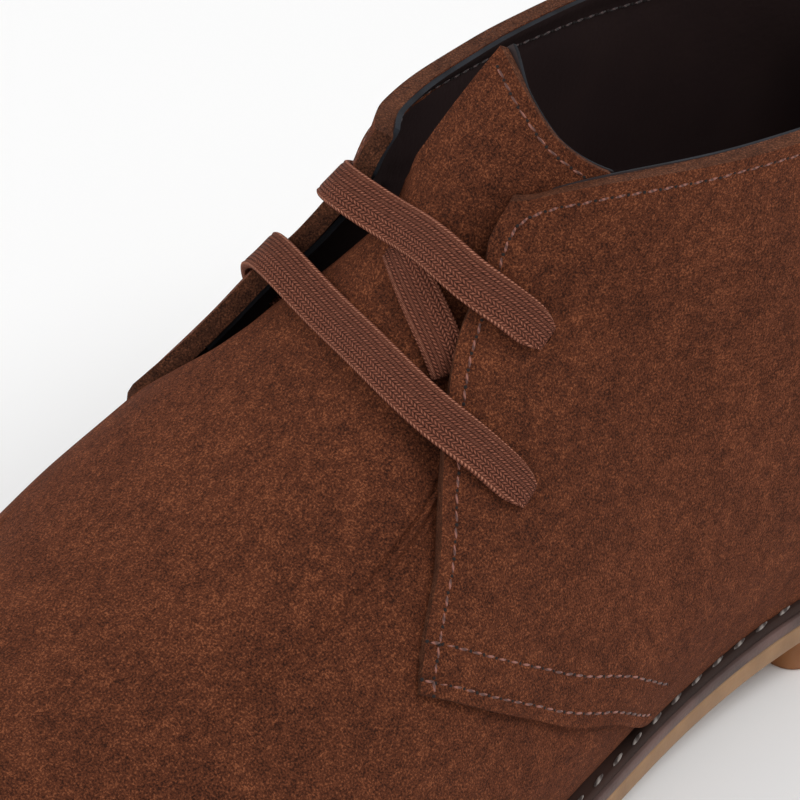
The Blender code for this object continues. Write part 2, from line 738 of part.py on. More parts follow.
def main():
    for item in list(bpy.data.objects):
        bpy.data.objects.remove(item, do_unlink=True)
    boot = new_collection("chukka_boot")
    guides = new_collection("guides")
    finishes = {
        "suede": material("suede", 112, 66, 44, 0.95),
        "lace": material("lace", 92, 58, 48, 0.85),
        "welt": material("welt", 52, 34, 28, 0.60),
        "midsole": material("midsole", 110, 90, 86, 0.55),
        "outsole": material("outsole", 152, 120, 90, 0.50),
        "heel": material("heel_rubber", 140, 104, 72, 0.50),
        "insole": material("insole", 60, 44, 42, 0.80),
    }

    upper = add_object("upper", vamp_panel(), boot, finishes["suede"])
    add_solidify(upper, VAMP_WALL)
    quarters = add_object("quarters", quarter_panels(), guides)
    add_solidify(quarters, QUARTER_WALL)
    as_guide(quarters)
    add_boolean(upper, "UNION", quarters)
    below = bmesh.new()
    plate(below, 2 * WELT_MARGIN, bed, lambda run: 0.0 * run)
    below = add_object("below_feather_line", below, guides)
    as_guide(below)
    add_boolean(upper, "DIFFERENCE", below)
    for level, pair in zip(("upper", "lower"), EYELETS):
        for quarter, eyelet, side in zip((LATERAL, MEDIAL), pair, ("lateral", "medial")):
            punch = eyelet_cutter("punch_" + level + "_" + side, quarter, eyelet, guides)
            add_boolean(upper, "DIFFERENCE", punch)

    tongue = add_object("tongue", tongue_panel(), boot, finishes["suede"])
    add_solidify(tongue, TONGUE_WALL)

    strips = lace_guides(guides)
    lace = strips["lace_bar_upper"]
    for name in ("lace_run", "lace_bar_lower"):
        add_boolean(lace, "UNION", strips[name])
        as_guide(strips[name])
    guides.objects.unlink(lace)
    boot.objects.link(lace)
    lace.name = "lace"
    lace.data.materials.append(finishes["lace"])

    make_sole(boot, finishes)
    make_heel(boot, finishes["heel"])


main()
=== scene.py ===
"""The looks of a left suede chukka boot: its shells, stitches, lace, sole edges and finishes.

The toe points to -Y, the outer (lateral) side of the foot to +X and the floor is at Z = 0. The upper and
sole follow one last, as the solids do. A place on it has a station, 0 at the toe and 1 at the collar,
and a height around its section, 0 at the feather line or back seam and 1 at the ridge.
"""

import math

import bmesh
import bpy
import numpy as np
from mathutils import Matrix, Vector
from mathutils.bvhtree import BVHTree


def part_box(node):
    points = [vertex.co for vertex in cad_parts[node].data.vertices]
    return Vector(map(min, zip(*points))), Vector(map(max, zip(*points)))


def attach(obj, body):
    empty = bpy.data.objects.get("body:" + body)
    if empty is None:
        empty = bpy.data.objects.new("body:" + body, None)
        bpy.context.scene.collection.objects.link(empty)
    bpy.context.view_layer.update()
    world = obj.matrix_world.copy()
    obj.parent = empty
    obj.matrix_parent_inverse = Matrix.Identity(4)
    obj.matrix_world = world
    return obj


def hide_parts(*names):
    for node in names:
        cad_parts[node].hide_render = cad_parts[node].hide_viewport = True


bl_info = {
    "name": "Chukka boot looks",
    "version": (1, 0, 0),
    "blender": (4, 5, 0),
    "location": "3D View > Sidebar > Boot",
    "description": "Dresses the packed solids of a suede chukka boot",
    "category": "Object",
}

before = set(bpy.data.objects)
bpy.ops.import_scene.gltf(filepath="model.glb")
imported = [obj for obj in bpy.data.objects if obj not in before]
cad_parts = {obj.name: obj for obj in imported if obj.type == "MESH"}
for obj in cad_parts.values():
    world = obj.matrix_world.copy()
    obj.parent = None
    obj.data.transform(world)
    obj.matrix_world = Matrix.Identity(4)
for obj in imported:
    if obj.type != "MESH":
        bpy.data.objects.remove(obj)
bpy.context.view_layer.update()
MM = 0.001

# The last, as in the solids
LAST_LENGTH = 0.283
BALL_WIDTH = 0.093
HEEL_WIDTH = 0.062
ANKLE_WIDTH = 0.072
FRONT_HEIGHT = 0.109
BACK_HEIGHT = 0.0975
SEAT_LIFT = 0.0125
TOE_SPRING = 0.0095
STACK = 0.009
# How far the solids' midsole stands past the feather line
SOLID_MARGIN = 0.0060
NORMAL_STEP = 0.002
# The stations over which the direction of a lift is evened out, and where that starts
EVEN_SHIFTS = (-0.10, -0.06, -0.03, 0.0, 0.03, 0.06, 0.10)
EVEN_START = 0.60
EVEN_SHARE = 0.12
LAST_COLUMNS = ("top_run", "top_rise", "foot_run", "foot_rise", "foot_shift", "top_shift",
                "rear", "foot_half", "side_half", "level", "low_curve", "top_curve")
LAST_SECTIONS = (
    (1.002, 0.114, 1.000, 0.000, -0.065, -0.065, 0.00, 0.000, 0.000, 0.30, 2.00, 2.20),
    (0.991, 0.184, 0.990, 0.000, -0.065, -0.065, 0.00, 0.301, 0.333, 0.28, 2.00, 2.20),
    (0.965, 0.268, 0.965, 0.000, -0.059, -0.065, 0.00, 0.516, 0.559, 0.26, 2.00, 2.20),
    (0.919, 0.342, 0.920, 0.000, -0.048, -0.065, 0.00, 0.720, 0.766, 0.25, 2.00, 2.20),
    (0.859, 0.408, 0.860, 0.000, -0.027, -0.065, 0.00, 0.871, 0.925, 0.24, 2.00, 2.20),
    (0.792, 0.475, 0.790, 0.000, 0.000, -0.065, 0.00, 0.968, 1.041, 0.24, 2.00, 2.20),
    (0.721, 0.550, 0.720, 0.000, 0.016, -0.070, 0.00, 1.000, 1.088, 0.24, 2.00, 2.30),
    (0.659, 0.629, 0.650, 0.000, 0.032, -0.070, 0.15, 1.030, 1.118, 0.25, 2.00, 2.35),
    (0.609, 0.696, 0.570, 0.000, 0.043, -0.065, 0.40, 1.030, 1.109, 0.26, 2.00, 2.40),
    (0.578, 0.747, 0.481, 0.000, 0.043, -0.054, 0.70, 1.010, 1.109, 0.28, 2.00, 2.35),
    (0.559, 0.791, 0.389, 0.000, 0.027, -0.043, 0.90, 0.983, 1.099, 0.32, 2.00, 2.30),
    (0.546, 0.826, 0.300, 0.000, 0.011, -0.032, 1.00, 0.984, 1.067, 0.36, 2.00, 2.20),
    (0.536, 0.859, 0.201, 0.000, 0.000, -0.022, 1.00, 1.000, 1.025, 0.40, 2.00, 2.10),
    (0.530, 0.881, 0.120, 0.000, 0.000, -0.013, 1.00, 0.984, 1.006, 0.43, 2.00, 2.05),
    (0.526, 0.897, 0.060, 0.000, 0.000, -0.009, 1.00, 0.871, 1.000, 0.45, 2.00, 2.00),
    (0.522, 0.909, 0.020, 0.000, 0.000, -0.004, 1.00, 0.548, 1.000, 0.46, 2.00, 2.00),
    (0.518, 0.919, 0.005, 0.000, 0.000, 0.000, 1.00, 0.000, 1.000, 0.47, 2.00, 2.00),
    (0.514, 0.932, -0.005, 0.149, 0.000, 0.000, 1.00, 0.000, 1.000, 0.48, 2.05, 2.00),
    (0.511, 0.944, -0.007, 0.313, 0.000, 0.000, 1.00, 0.000, 1.000, 0.48, 2.10, 2.00),
    (0.507, 0.958, -0.002, 0.482, 0.000, 0.000, 1.00, 0.000, 0.992, 0.48, 2.15, 2.05),
    (0.504, 0.973, 0.009, 0.656, 0.000, 0.000, 1.00, 0.000, 0.981, 0.48, 2.20, 2.10),
    (0.500, 0.987, 0.019, 0.831, 0.000, 0.000, 1.00, 0.000, 0.972, 0.48, 2.20, 2.15),
    (0.497, 1.003, 0.028, 1.000, 0.000, 0.000, 1.00, 0.000, 0.972, 0.48, 2.20, 2.20),
    (0.472, 1.100, 0.034, 1.144, 0.000, 0.000, 1.00, 0.000, 0.986, 0.48, 2.20, 2.20),
    (0.447, 1.204, 0.037, 1.297, 0.000, 0.000, 1.00, 0.000, 1.000, 0.48, 2.20, 2.20),
)
SEAT_SECTION = 16
COLLAR_SECTION = 22
BED_SECTIONS = (
    # run, seat, spring
    (-0.02, 1.010, 0.000),
    (0.12, 0.944, 0.000),
    (0.25, 0.848, 0.000),
    (0.40, 0.576, 0.000),
    (0.52, 0.288, 0.000),
    (0.62, 0.080, 0.000),
    (0.72, 0.000, 0.000),
    (0.80, 0.000, 0.063),
    (0.90, 0.000, 0.400),
    (1.02, 0.000, 1.100),
)

# The pattern on the last: station, foot edge, facing edge of each quarter
LATERAL_QUARTER = (
    (0.403, 0.593, 0.593),
    (0.421, 0.554, 0.640),
    (0.455, 0.478, 0.694),
    (0.484, 0.412, 0.740),
    (0.511, 0.343, 0.773),
    (0.540, 0.259, 0.800),
    (0.568, 0.086, 0.820),
    (0.632, 0.000, 0.849),
    (0.707, 0.000, 0.863),
    (0.866, 0.000, 0.892),
    (1.000, 0.000, 0.890),
)
MEDIAL_QUARTER = (
    (0.442, 0.734, 0.734),
    (0.450, 0.640, 0.757),
    (0.459, 0.590, 0.766),
    (0.480, 0.500, 0.785),
    (0.511, 0.390, 0.800),
    (0.540, 0.262, 0.815),
    (0.570, 0.080, 0.825),
    (0.632, 0.000, 0.840),
    (0.707, 0.000, 0.853),
    (0.866, 0.000, 0.885),
    (1.000, 0.000, 0.881),
)
COLLAR_LINE = (
    # height, lateral, medial
    (0.00, 1.002, 1.002),
    (0.45, 1.008, 0.996),
    (0.70, 1.014, 0.990),
    (0.80, 1.010, 0.990),
    (0.86, 0.996, 0.992),
    (0.90, 0.975, 0.980),
)
# How much of its bow each facing stands off, as a share at stations
BOW_PROFILE = (
    # station, lateral, medial
    (0.40, 0.00, 0.00),
    (0.46, 0.27, 0.06),
    (0.50, 0.47, 0.30),
    (0.55, 0.68, 0.51),
    (0.61, 0.87, 0.68),
    (0.70, 1.00, 0.88),
    (0.80, 0.87, 1.00),
    (0.86, 0.66, 0.97),
    (0.93, 0.36, 0.82),
    (1.00, 0.04, 0.50),
)
# Where the one sheet of vamp and tongue ends: below TONGUE_EDGE hidden under the quarters
FRONT_END = (
    # height, lateral, medial
    (0.00, 0.620, 0.620),
    (0.26, 0.585, 0.590),
    (0.41, 0.530, 0.560),
    (0.55, 0.485, 0.530),
    (0.64, 0.475, 0.515),
    (0.69, 0.520, 0.540),
    (0.73, 0.610, 0.600),
    (0.75, 0.760, 0.700),
)
TONGUE_EDGE = 0.765
TONGUE_TOP = (
    # height, lateral, medial
    (0.70, 0.992, 0.800),
    (0.78, 1.012, 0.835),
    (0.84, 1.027, 0.865),
    (0.89, 1.040, 0.905),
    (0.92, 1.050, 0.957),
    (0.95, 1.060, 1.008),
    (0.975, 1.068, 1.040),
    (1.00, 1.076, 1.076),
)
EYELETS = (
    # station and height, lateral then medial, the upper pair first
    ((0.726, 0.782), (0.790, 0.772)),
    ((0.560, 0.670), (0.600, 0.690)),
)
TONGUE_LAP = 0.11
TONGUE_EDGE_RAMP = 0.07
TONGUE_TUCK = 0.0012
TONGUE_CLEARANCE = 0.0007
BOW_BAND = 0.26
QUARTER_STEP = 0.0015
QUARTER_WALL = 0.0024
VAMP_WALL = 0.0022
LATERAL_BOW = 0.0018
MEDIAL_BOW = 0.0070
# Where the sheet starts to sink under the quarters, and over which shares of station and height
SINK_START = 0.43
SINK_SHARE = 0.07
COVER_SHARE = 0.10
# The tongue's lining: its first station, and how far it stands past the suede at the top corner
TONGUE_LINING_START = 0.62
TONGUE_FOLD = 0.005
TONGUE_FOLD_HEIGHT = 0.94

# Soft troughs pressed into the upper: place, place (station, height, side), width and depth in mm
FOLDS = (
    ((0.455, 0.93, 1), (0.330, 0.86, 1), 9.0, 0.70),
    ((0.470, 0.80, 1), (0.380, 0.70, 1), 7.0, 0.55),
    ((0.400, 1.00, 1), (0.360, 0.78, -1), 10.0, 0.60),
    ((0.330, 0.95, -1), (0.300, 0.70, -1), 9.0, 0.50),
    ((0.560, 0.55, 1), (0.640, 0.40, 1), 10.0, 0.70),
    ((0.760, 0.70, 1), (0.860, 0.52, 1), 9.0, 0.60),
    ((0.900, 0.72, 1), (0.930, 0.45, 1), 12.0, -0.50),
    ((0.640, 0.60, -1), (0.760, 0.45, -1), 10.0, 0.70),
    ((0.860, 0.60, -1), (0.900, 0.40, -1), 10.0, 0.60),
)
WAVE_DEPTH = 0.22
WAVE_SCALE = 45.0


def smooth_curve(places, values):
    """A natural cubic spline through the values at rising places."""
    places = np.asarray(places, float)
    values = np.asarray(values, float)
    count = len(places)
    steps = np.diff(places)
    slopes = np.diff(values) / steps
    system = np.zeros((count, count))
    right = np.zeros(count)
    system[0, 0] = system[-1, -1] = 1.0
    for i in range(1, count - 1):
        system[i, i - 1:i + 2] = steps[i - 1], 2 * (steps[i - 1] + steps[i]), steps[i]
        right[i] = 6 * (slopes[i] - slopes[i - 1])
    bend = np.linalg.solve(system, right)

    def curve(at):
        at = np.clip(np.asarray(at, float), places[0], places[-1])
        i = np.clip(np.searchsorted(places, at) - 1, 0, count - 2)
        step = steps[i]
        ahead = (at - places[i]) / step
        behind = 1 - ahead
        curl = bend[i] * (behind ** 3 - behind) + bend[i + 1] * (ahead ** 3 - ahead)
        return behind * values[i] + ahead * values[i + 1] + curl * step ** 2 / 6

    return curve


def ease(share):
    """0 to 1 with a level start and end."""
    share = np.clip(share, 0.0, 1.0)
    return share * share * (3 - 2 * share)


def table_curves(rows):
    """A curve for each column after the first, which holds the places."""
    table = np.array(rows)
    return [smooth_curve(table[:, 0], column) for column in table.T[1:]]


SEAT_CURVE, SPRING_CURVE = table_curves(BED_SECTIONS)


def bed(run):
    """Height of the feather line above the floor at a run from the heel."""
    share = run / LAST_LENGTH
    return STACK + SEAT_LIFT * SEAT_CURVE(share) + TOE_SPRING * SPRING_CURVE(share)


def last_sections():
    """The sections' sizes in metres, one column a name, and the station of each section."""
    share = dict(zip(LAST_COLUMNS, np.array(LAST_SECTIONS).T))
    rear = share["rear"]
    foot_base = BALL_WIDTH / 2 * (1 - rear) + HEEL_WIDTH / 2 * rear
    side_base = BALL_WIDTH / 2 * (1 - rear) + ANKLE_WIDTH / 2 * rear
    sizes = {
        "top_run": share["top_run"] * LAST_LENGTH,
        "foot_run": share["foot_run"] * LAST_LENGTH,
        "foot_shift": share["foot_shift"] * BALL_WIDTH,
        "top_shift": share["top_shift"] * BALL_WIDTH,
        "foot_half": share["foot_half"] * foot_base,
        "side_half": share["side_half"] * side_base,
        "level": share["level"],
        "low_curve": share["low_curve"],
        "top_curve": share["top_curve"],
    }
    sizes["top_height"] = bed(sizes["top_run"]) + share["top_rise"] * FRONT_HEIGHT
    sizes["foot_height"] = bed(sizes["foot_run"]) + share["foot_rise"] * BACK_HEIGHT
    ridge = np.stack([sizes["top_run"], sizes["top_height"]], 1)
    foot = np.stack([sizes["foot_run"], sizes["foot_height"], sizes["foot_half"]], 1)
    side_run = sizes["foot_run"] + (sizes["top_run"] - sizes["foot_run"]) * sizes["level"]
    side_height = sizes["foot_height"] + (sizes["top_height"] - sizes["foot_height"]) * sizes["level"]
    side = np.stack([side_run, side_height, sizes["side_half"]], 1)
    walk = sum(np.linalg.norm(np.diff(path, axis=0), axis=1) for path in (ridge, foot, side))
    stations = np.concatenate([[0.0], np.cumsum(walk)])
    return sizes, stations / stations[COLLAR_SECTION]


SECTION_SIZES, STATIONS = last_sections()
SECTION_CURVES = {name: smooth_curve(STATIONS, sizes) for name, sizes in SECTION_SIZES.items()}
SEAT_STATION = STATIONS[SEAT_SECTION]


def section(station):
    """The last's sizes at a station."""
    sizes = {name: curve(station) for name, curve in SECTION_CURVES.items()}
    sizes["side_half"] = np.maximum(sizes["side_half"], 1e-6)
    foot_half = np.where(np.asarray(station) < SEAT_STATION, sizes["foot_half"], 0.0)
    sizes["foot_half"] = np.clip(foot_half, 0.0, sizes["side_half"])
    return sizes


def feather_line(margin, count):
    """Points (side, run) of the feather line moved out by a margin, once round at even steps."""
    sizes = section(np.linspace(0.0, SEAT_STATION, 600))
    lateral = np.stack([sizes["foot_shift"] + sizes["foot_half"], sizes["foot_run"]], 1)
    medial = np.stack([sizes["foot_shift"] - sizes["foot_half"], sizes["foot_run"]], 1)
    ring = np.concatenate([lateral, medial[-2:0:-1]])
    ring = even_steps(ring, 4 * count, closed=True)
    along = np.roll(ring, -3, axis=0) - np.roll(ring, 3, axis=0)
    along /= np.linalg.norm(along, axis=1)[:, None]
    out = np.stack([-along[:, 1], along[:, 0]], 1)
    return even_steps(ring + margin * out, count, closed=True)


def even_steps(points, count, closed=False):
    """Points at even steps along a line."""
    points = np.asarray(points, float)
    if closed:
        points = np.concatenate([points, points[:1]])
    length = np.concatenate([[0.0], np.cumsum(np.linalg.norm(np.diff(points, axis=0), axis=1))])
    at = np.linspace(0.0, length[-1], count + 1)[:-1] if closed else np.linspace(0.0, length[-1], count)
    return np.stack([np.interp(at, length, axis) for axis in points.T], 1)


def world_shift():
    """How far the last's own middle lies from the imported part's, across and along."""
    low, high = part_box("midsole")
    ring = feather_line(SOLID_MARGIN, 400)
    middle = (ring.max(axis=0) + ring.min(axis=0)) / 2
    return middle[0] - (low.x + high.x) / 2, middle[1] + (low.y + high.y) / 2


SIDE_MIDDLE, RUN_MIDDLE = world_shift()


def in_world(side, run, height):
    """A place given across, from the heel forward and up, as X, Y, Z."""
    return np.stack([side - SIDE_MIDDLE, RUN_MIDDLE - run, height + 0 * side], -1)


def last_surface(station, height, side):
    """The last's outer surface: side is 1 on the lateral half and -1 on the medial."""
    size = section(station)
    level = size["level"]
    rise = np.sin(np.clip(height, 0.0, 1.0) * math.pi / 2) ** 2
    low = np.clip((level - rise) / level, 0, 1) ** size["low_curve"]
    narrow = 1 - (size["foot_half"] / size["side_half"]) ** size["low_curve"]
    high = np.clip((rise - level) / (1 - level), 0, 1) ** size["top_curve"]
    below = (1 - narrow * low) ** (1 / size["low_curve"])
    above = np.maximum(1 - high, 0) ** (1 / size["top_curve"])
    half = size["side_half"] * np.where(rise < level, below, above)
    shift = size["foot_shift"] + (size["top_shift"] - size["foot_shift"]) * ease(rise)
    run = size["foot_run"] + (size["top_run"] - size["foot_run"]) * rise
    up = size["foot_height"] + (size["top_height"] - size["foot_height"]) * rise
    return in_world(shift + side * half, run, up)


def last_normal(station, height, side):
    """The outward normal of the last's surface."""
    step = NORMAL_STEP
    ahead = last_surface(station + step, height, side)
    behind = last_surface(np.maximum(station - step, 0.0), height, side)
    above = last_surface(station, np.minimum(height + step, 1.0), side)
    below = last_surface(station, np.maximum(height - step, 0.0), side)
    normal = np.cross(ahead - behind, above - below) * np.asarray(side)[..., None]
    return normal / np.maximum(np.linalg.norm(normal, axis=-1, keepdims=True), 1e-12)


def lift_direction(station, height, side):
    """The direction of a lift: the normal, evened out along the ankle, where the sections turn quickly."""
    sharp = last_normal(station, height, side)
    wide = sum(last_normal(station + shift, height, side) for shift in EVEN_SHIFTS)
    wide /= np.maximum(np.linalg.norm(wide, axis=-1, keepdims=True), 1e-12)
    share = ease((station - EVEN_START) / EVEN_SHARE)[..., None]
    mixed = sharp * (1 - share) + wide * share
    return mixed / np.linalg.norm(mixed, axis=-1, keepdims=True)


def pressed(points):
    """How far the listed folds and a slow unevenness move each point of the upper."""
    lift = np.zeros(points.shape[:-1])
    for start, end, width, depth in FOLDS:
        first, last = (last_surface(*(np.float64(value) for value in place)) for place in (start, end))
        along = last - first
        share = np.clip(((points - first) @ along) / (along @ along), 0, 1)
        away = np.linalg.norm(points - (first + share[..., None] * along), axis=-1)
        lift -= depth * MM * np.exp(-(away / (width * MM)) ** 2) * (0.35 + 0.65 * np.sin(math.pi * share))
    x, y, z = (points * WAVE_SCALE * math.tau).transpose(-1, *range(points.ndim - 1))
    wave = np.sin(0.9 * x + 0.4 * z + 1.0) * np.sin(0.7 * y - 0.3 * x)
    wave = wave + 0.6 * np.sin(0.5 * y + 0.8 * z + 2.0)
    return lift + WAVE_DEPTH * MM * 0.5 * wave


def on_last(station, height, side, lift):
    """A place that stands a lift off the last, with the folds pressed in."""
    station, height, side, lift = np.broadcast_arrays(station, height, side, lift)
    side = side.astype(float)
    points = last_surface(station, height, side)
    lift = lift + pressed(points)
    return points + lift_direction(station, height, side) * lift[..., None]


class Quarter:
    """One quarter's edges and how far it stands off the last."""

    def __init__(self, side, rows, bow):
        own_column = 0 if side > 0 else 1
        self.side = side
        self.bow = bow
        self.corner = rows[0][0]
        foot, self.facing = table_curves(rows)
        self.foot = lambda station: np.where(station < SEAT_STATION, np.maximum(foot(station), 0), 0)
        self.collar = table_curves(COLLAR_LINE)[own_column]
        self.bow_share = table_curves(BOW_PROFILE)[own_column]
        self.tongue_top = table_curves(TONGUE_TOP)[own_column]
        self.eyelets = [pair[own_column] for pair in EYELETS]

    def lift(self, station, height):
        """The outer face's distance from the last: the step, and the facing's bow off the tongue."""
        across = ease(1 - (self.facing(station) - height) / BOW_BAND)
        return QUARTER_STEP + self.bow * self.bow_share(station) * across

    def place(self, along, across):
        """Station and height at shares from the corner to the collar and from foot to facing."""
        station = self.corner + (1 - self.corner) * along
        low = self.foot(station)
        height = low + (self.facing(station) - low) * across
        stretch = (self.collar(height) - self.corner) / (1 - self.corner)
        return self.corner + (station - self.corner) * stretch, height

    def point(self, along, across, lift=0.0):
        station, height = self.place(along, across)
        return on_last(station, height, self.side, self.lift(station, height) + lift)


LATERAL = Quarter(1, LATERAL_QUARTER, LATERAL_BOW)
MEDIAL = Quarter(-1, MEDIAL_QUARTER, MEDIAL_BOW)


def across_throat(share):
    """Height and side at a share from the lateral feather line over the ridge to the medial one."""
    return 1 - np.abs(2 * share - 1), np.where(share < 0.5, 1.0, -1.0)


def both_sides(side, value, curve_name):
    """A quarter's curve at a value, from the quarter on that side."""
    return np.where(side > 0, getattr(LATERAL, curve_name)(value), getattr(MEDIAL, curve_name)(value))


# Meshes

WELD_DISTANCE = 1e-5
SHARP_ANGLE = 38
# Points of an edge that a row of stitches follows, and the share of its distance that the row must keep
INSET_POINTS = 400
CLEAR_SHARE = 0.93
GROOVE_WIDTH = 0.0010


def add_mesh(name, vertices, faces, flip=False):
    """An object of the vertices and faces, smooth shaded."""
    faces = [tuple(int(corner) for corner in (face[::-1] if flip else face)) for face in faces]
    data = bpy.data.meshes.new(name)
    data.from_pydata([tuple(vertex) for vertex in np.asarray(vertices, float)], [], faces)
    data.shade_smooth()
    made = bpy.data.objects.new(name, data)
    bpy.context.scene.collection.objects.link(made)
    return made


def grid_faces(rows, columns, closed=False):
    """Quads of a grid of points, row by row; a closed grid joins its last column to its first."""
    quads = []
    for row in range(rows - 1):
        for column in range(columns if closed else columns - 1):
            beside = (column + 1) % columns
            quads.append((row * columns + column, (row + 1) * columns + column,
                          (row + 1) * columns + beside, row * columns + beside))
    return quads


def sheet_object(name, place, rows, columns, flip=False):
    """A sheet of leather: a grid put in place by shares along its rows and columns."""
    along, across = np.meshgrid(np.linspace(0, 1, rows), np.linspace(0, 1, columns), indexing="ij")
    points = place(along.ravel(), across.ravel())
    return add_mesh(name, points, grid_faces(rows, columns), flip)


def set_vertices(item, points):
    item.data.vertices.foreach_set("co", np.asarray(points, np.float32).ravel())
    item.data.update()


def get_vertices(item):
    points = np.zeros(len(item.data.vertices) * 3, np.float32)
    item.data.vertices.foreach_get("co", points)
    return points.reshape(-1, 3).astype(float)


def weld(item):
    """Merges the doubles at seams and poles."""
    work = bmesh.new()
    work.from_mesh(item.data)
    bmesh.ops.remove_doubles(work, verts=work.verts, dist=WELD_DISTANCE)
    work.to_mesh(item.data)
    work.free()


def face_outward(item):
    """Turns all of a closed piece's faces outwards."""
    work = bmesh.new()
    work.from_mesh(item.data)
    bmesh.ops.recalc_face_normals(work, faces=work.faces)
    work.to_mesh(item.data)
    work.free()


def settle(item):
    """Turns an object's modifiers into its mesh."""
    graph = bpy.context.evaluated_depsgraph_get()
    made = bpy.data.meshes.new_from_object(item.evaluated_get(graph), depsgraph=graph)
    made.name = item.name
    item.modifiers.clear()
    item.data = made
    return item


def give_wall(item, thickness, rounding, rim_slot=0, shares=None):
    """Thickens a sheet inwards, by a share of the thickness at each vertex, and rounds its cut edges."""
    wall = item.modifiers.new("wall", "SOLIDIFY")
    wall.thickness = thickness
    wall.offset = -1.0
    wall.use_even_offset = False
    wall.material_offset_rim = rim_slot
    if shares is not None:
        group = item.vertex_groups.new(name="wall")
        for index, share in enumerate(shares):
            group.add([index], float(share), "REPLACE")
        wall.vertex_group = group.name
    edge = item.modifiers.new("cut edge", "BEVEL")
    edge.width = rounding
    edge.segments = 3
    edge.limit_method = "ANGLE"
    edge.angle_limit = math.radians(50)
    edge.use_clamp_overlap = True
    settle(item)
    item.data.shade_smooth()
    return item


def cut_hole(item, middle, normal, radius):
    """Opens a round hole in a sheet, before it gets its wall."""
    work = bmesh.new()
    work.from_mesh(item.data)
    middle, normal = Vector(middle), Vector(normal)
    inside = [vert for vert in work.verts if (vert.co - middle).length < 1.15 * radius]
    bmesh.ops.delete(work, geom=inside, context="VERTS")
    for vert in work.verts:
        away = vert.co - middle
        if vert.is_boundary and away.length < 3 * radius:
            rise = normal * away.dot(normal)
            vert.co = middle + (away - rise).normalized() * radius + rise
    work.to_mesh(item.data)
    work.free()


def press_along(item, row, depth):
    """Presses a narrow groove into a sheet along a row of points, before it gets its wall."""
    line = even_steps(row, 3 * len(row))
    points = get_vertices(item)
    normals = np.zeros(len(points) * 3, np.float32)
    item.data.vertices.foreach_get("normal", normals)
    normals = normals.reshape(-1, 3)
    low = line.min(axis=0) - 4 * GROOVE_WIDTH
    high = line.max(axis=0) + 4 * GROOVE_WIDTH
    near = np.flatnonzero(np.all((points > low) & (points < high), axis=1))
    sink = np.zeros(len(points))
    for chunk in np.array_split(near, max(1, len(near) // 4000)):
        away = np.linalg.norm(points[chunk, None] - line[None], axis=2).min(axis=1)
        sink[chunk] = depth * np.exp(-(away / GROOVE_WIDTH) ** 2)
    set_vertices(item, points - normals * sink[:, None])


def surface_tree(item):
    """A search tree of an object's faces."""
    work = bmesh.new()
    work.from_mesh(item.data)
    tree = BVHTree.FromBMesh(work)
    work.free()
    return tree


def laid_on(tree, points, lift=0.0):
    """Points brought to the nearest face, with that face's normals."""
    places = []
    normals = []
    for point in points:
        place, normal, _, _ = tree.find_nearest(Vector(point))
        places.append(place + normal * lift)
        normals.append(normal)
    return np.array(places), np.array(normals)


def inset_line(edge, tree, distance, spacing):
    """A line on a sheet at a distance inside its edge, as even points and normals."""
    edge = even_steps(edge, INSET_POINTS)
    places, normals = laid_on(tree, edge)
    along = np.gradient(places, axis=0)
    inward = np.cross(normals, along)
    inward /= np.linalg.norm(inward, axis=1)[:, None]
    moved = places + inward * distance
    away = np.linalg.norm(moved[:, None] - places[None], axis=2).min(axis=1)
    moved = moved[away > CLEAR_SHARE * distance]
    length = np.linalg.norm(np.diff(moved, axis=0), axis=1).sum()
    moved = even_steps(moved, max(2, int(round(length / spacing)) + 1))
    for _ in range(2):
        moved[1:-1] = (moved[:-2] + 2 * moved[1:-1] + moved[2:]) / 4
    return laid_on(tree, moved)


def finish_piece(item, slot, *nodes):
    """Hands a finished piece to the frame."""
    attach(item, "root")
    if nodes:
        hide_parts(*nodes)
    return item


# Shader building

# Textures' scales a metre, and the depth of their bumps
FLECK_SCALE = 2600.0
GRAIN_SCALE = 900.0
PLY_SCALE = 2600.0 / 6
WELT_PLY_SCALE = 300.0
NAP_DEPTH = 0.00035
GRAIN_DEPTH = 0.00012
# The lace's columns of strokes a millimetre across, its strokes a millimetre along, and their slant
LACE_COLUMNS = 1.45
LACE_STROKES = 1.35
LACE_SLANT = 0.85


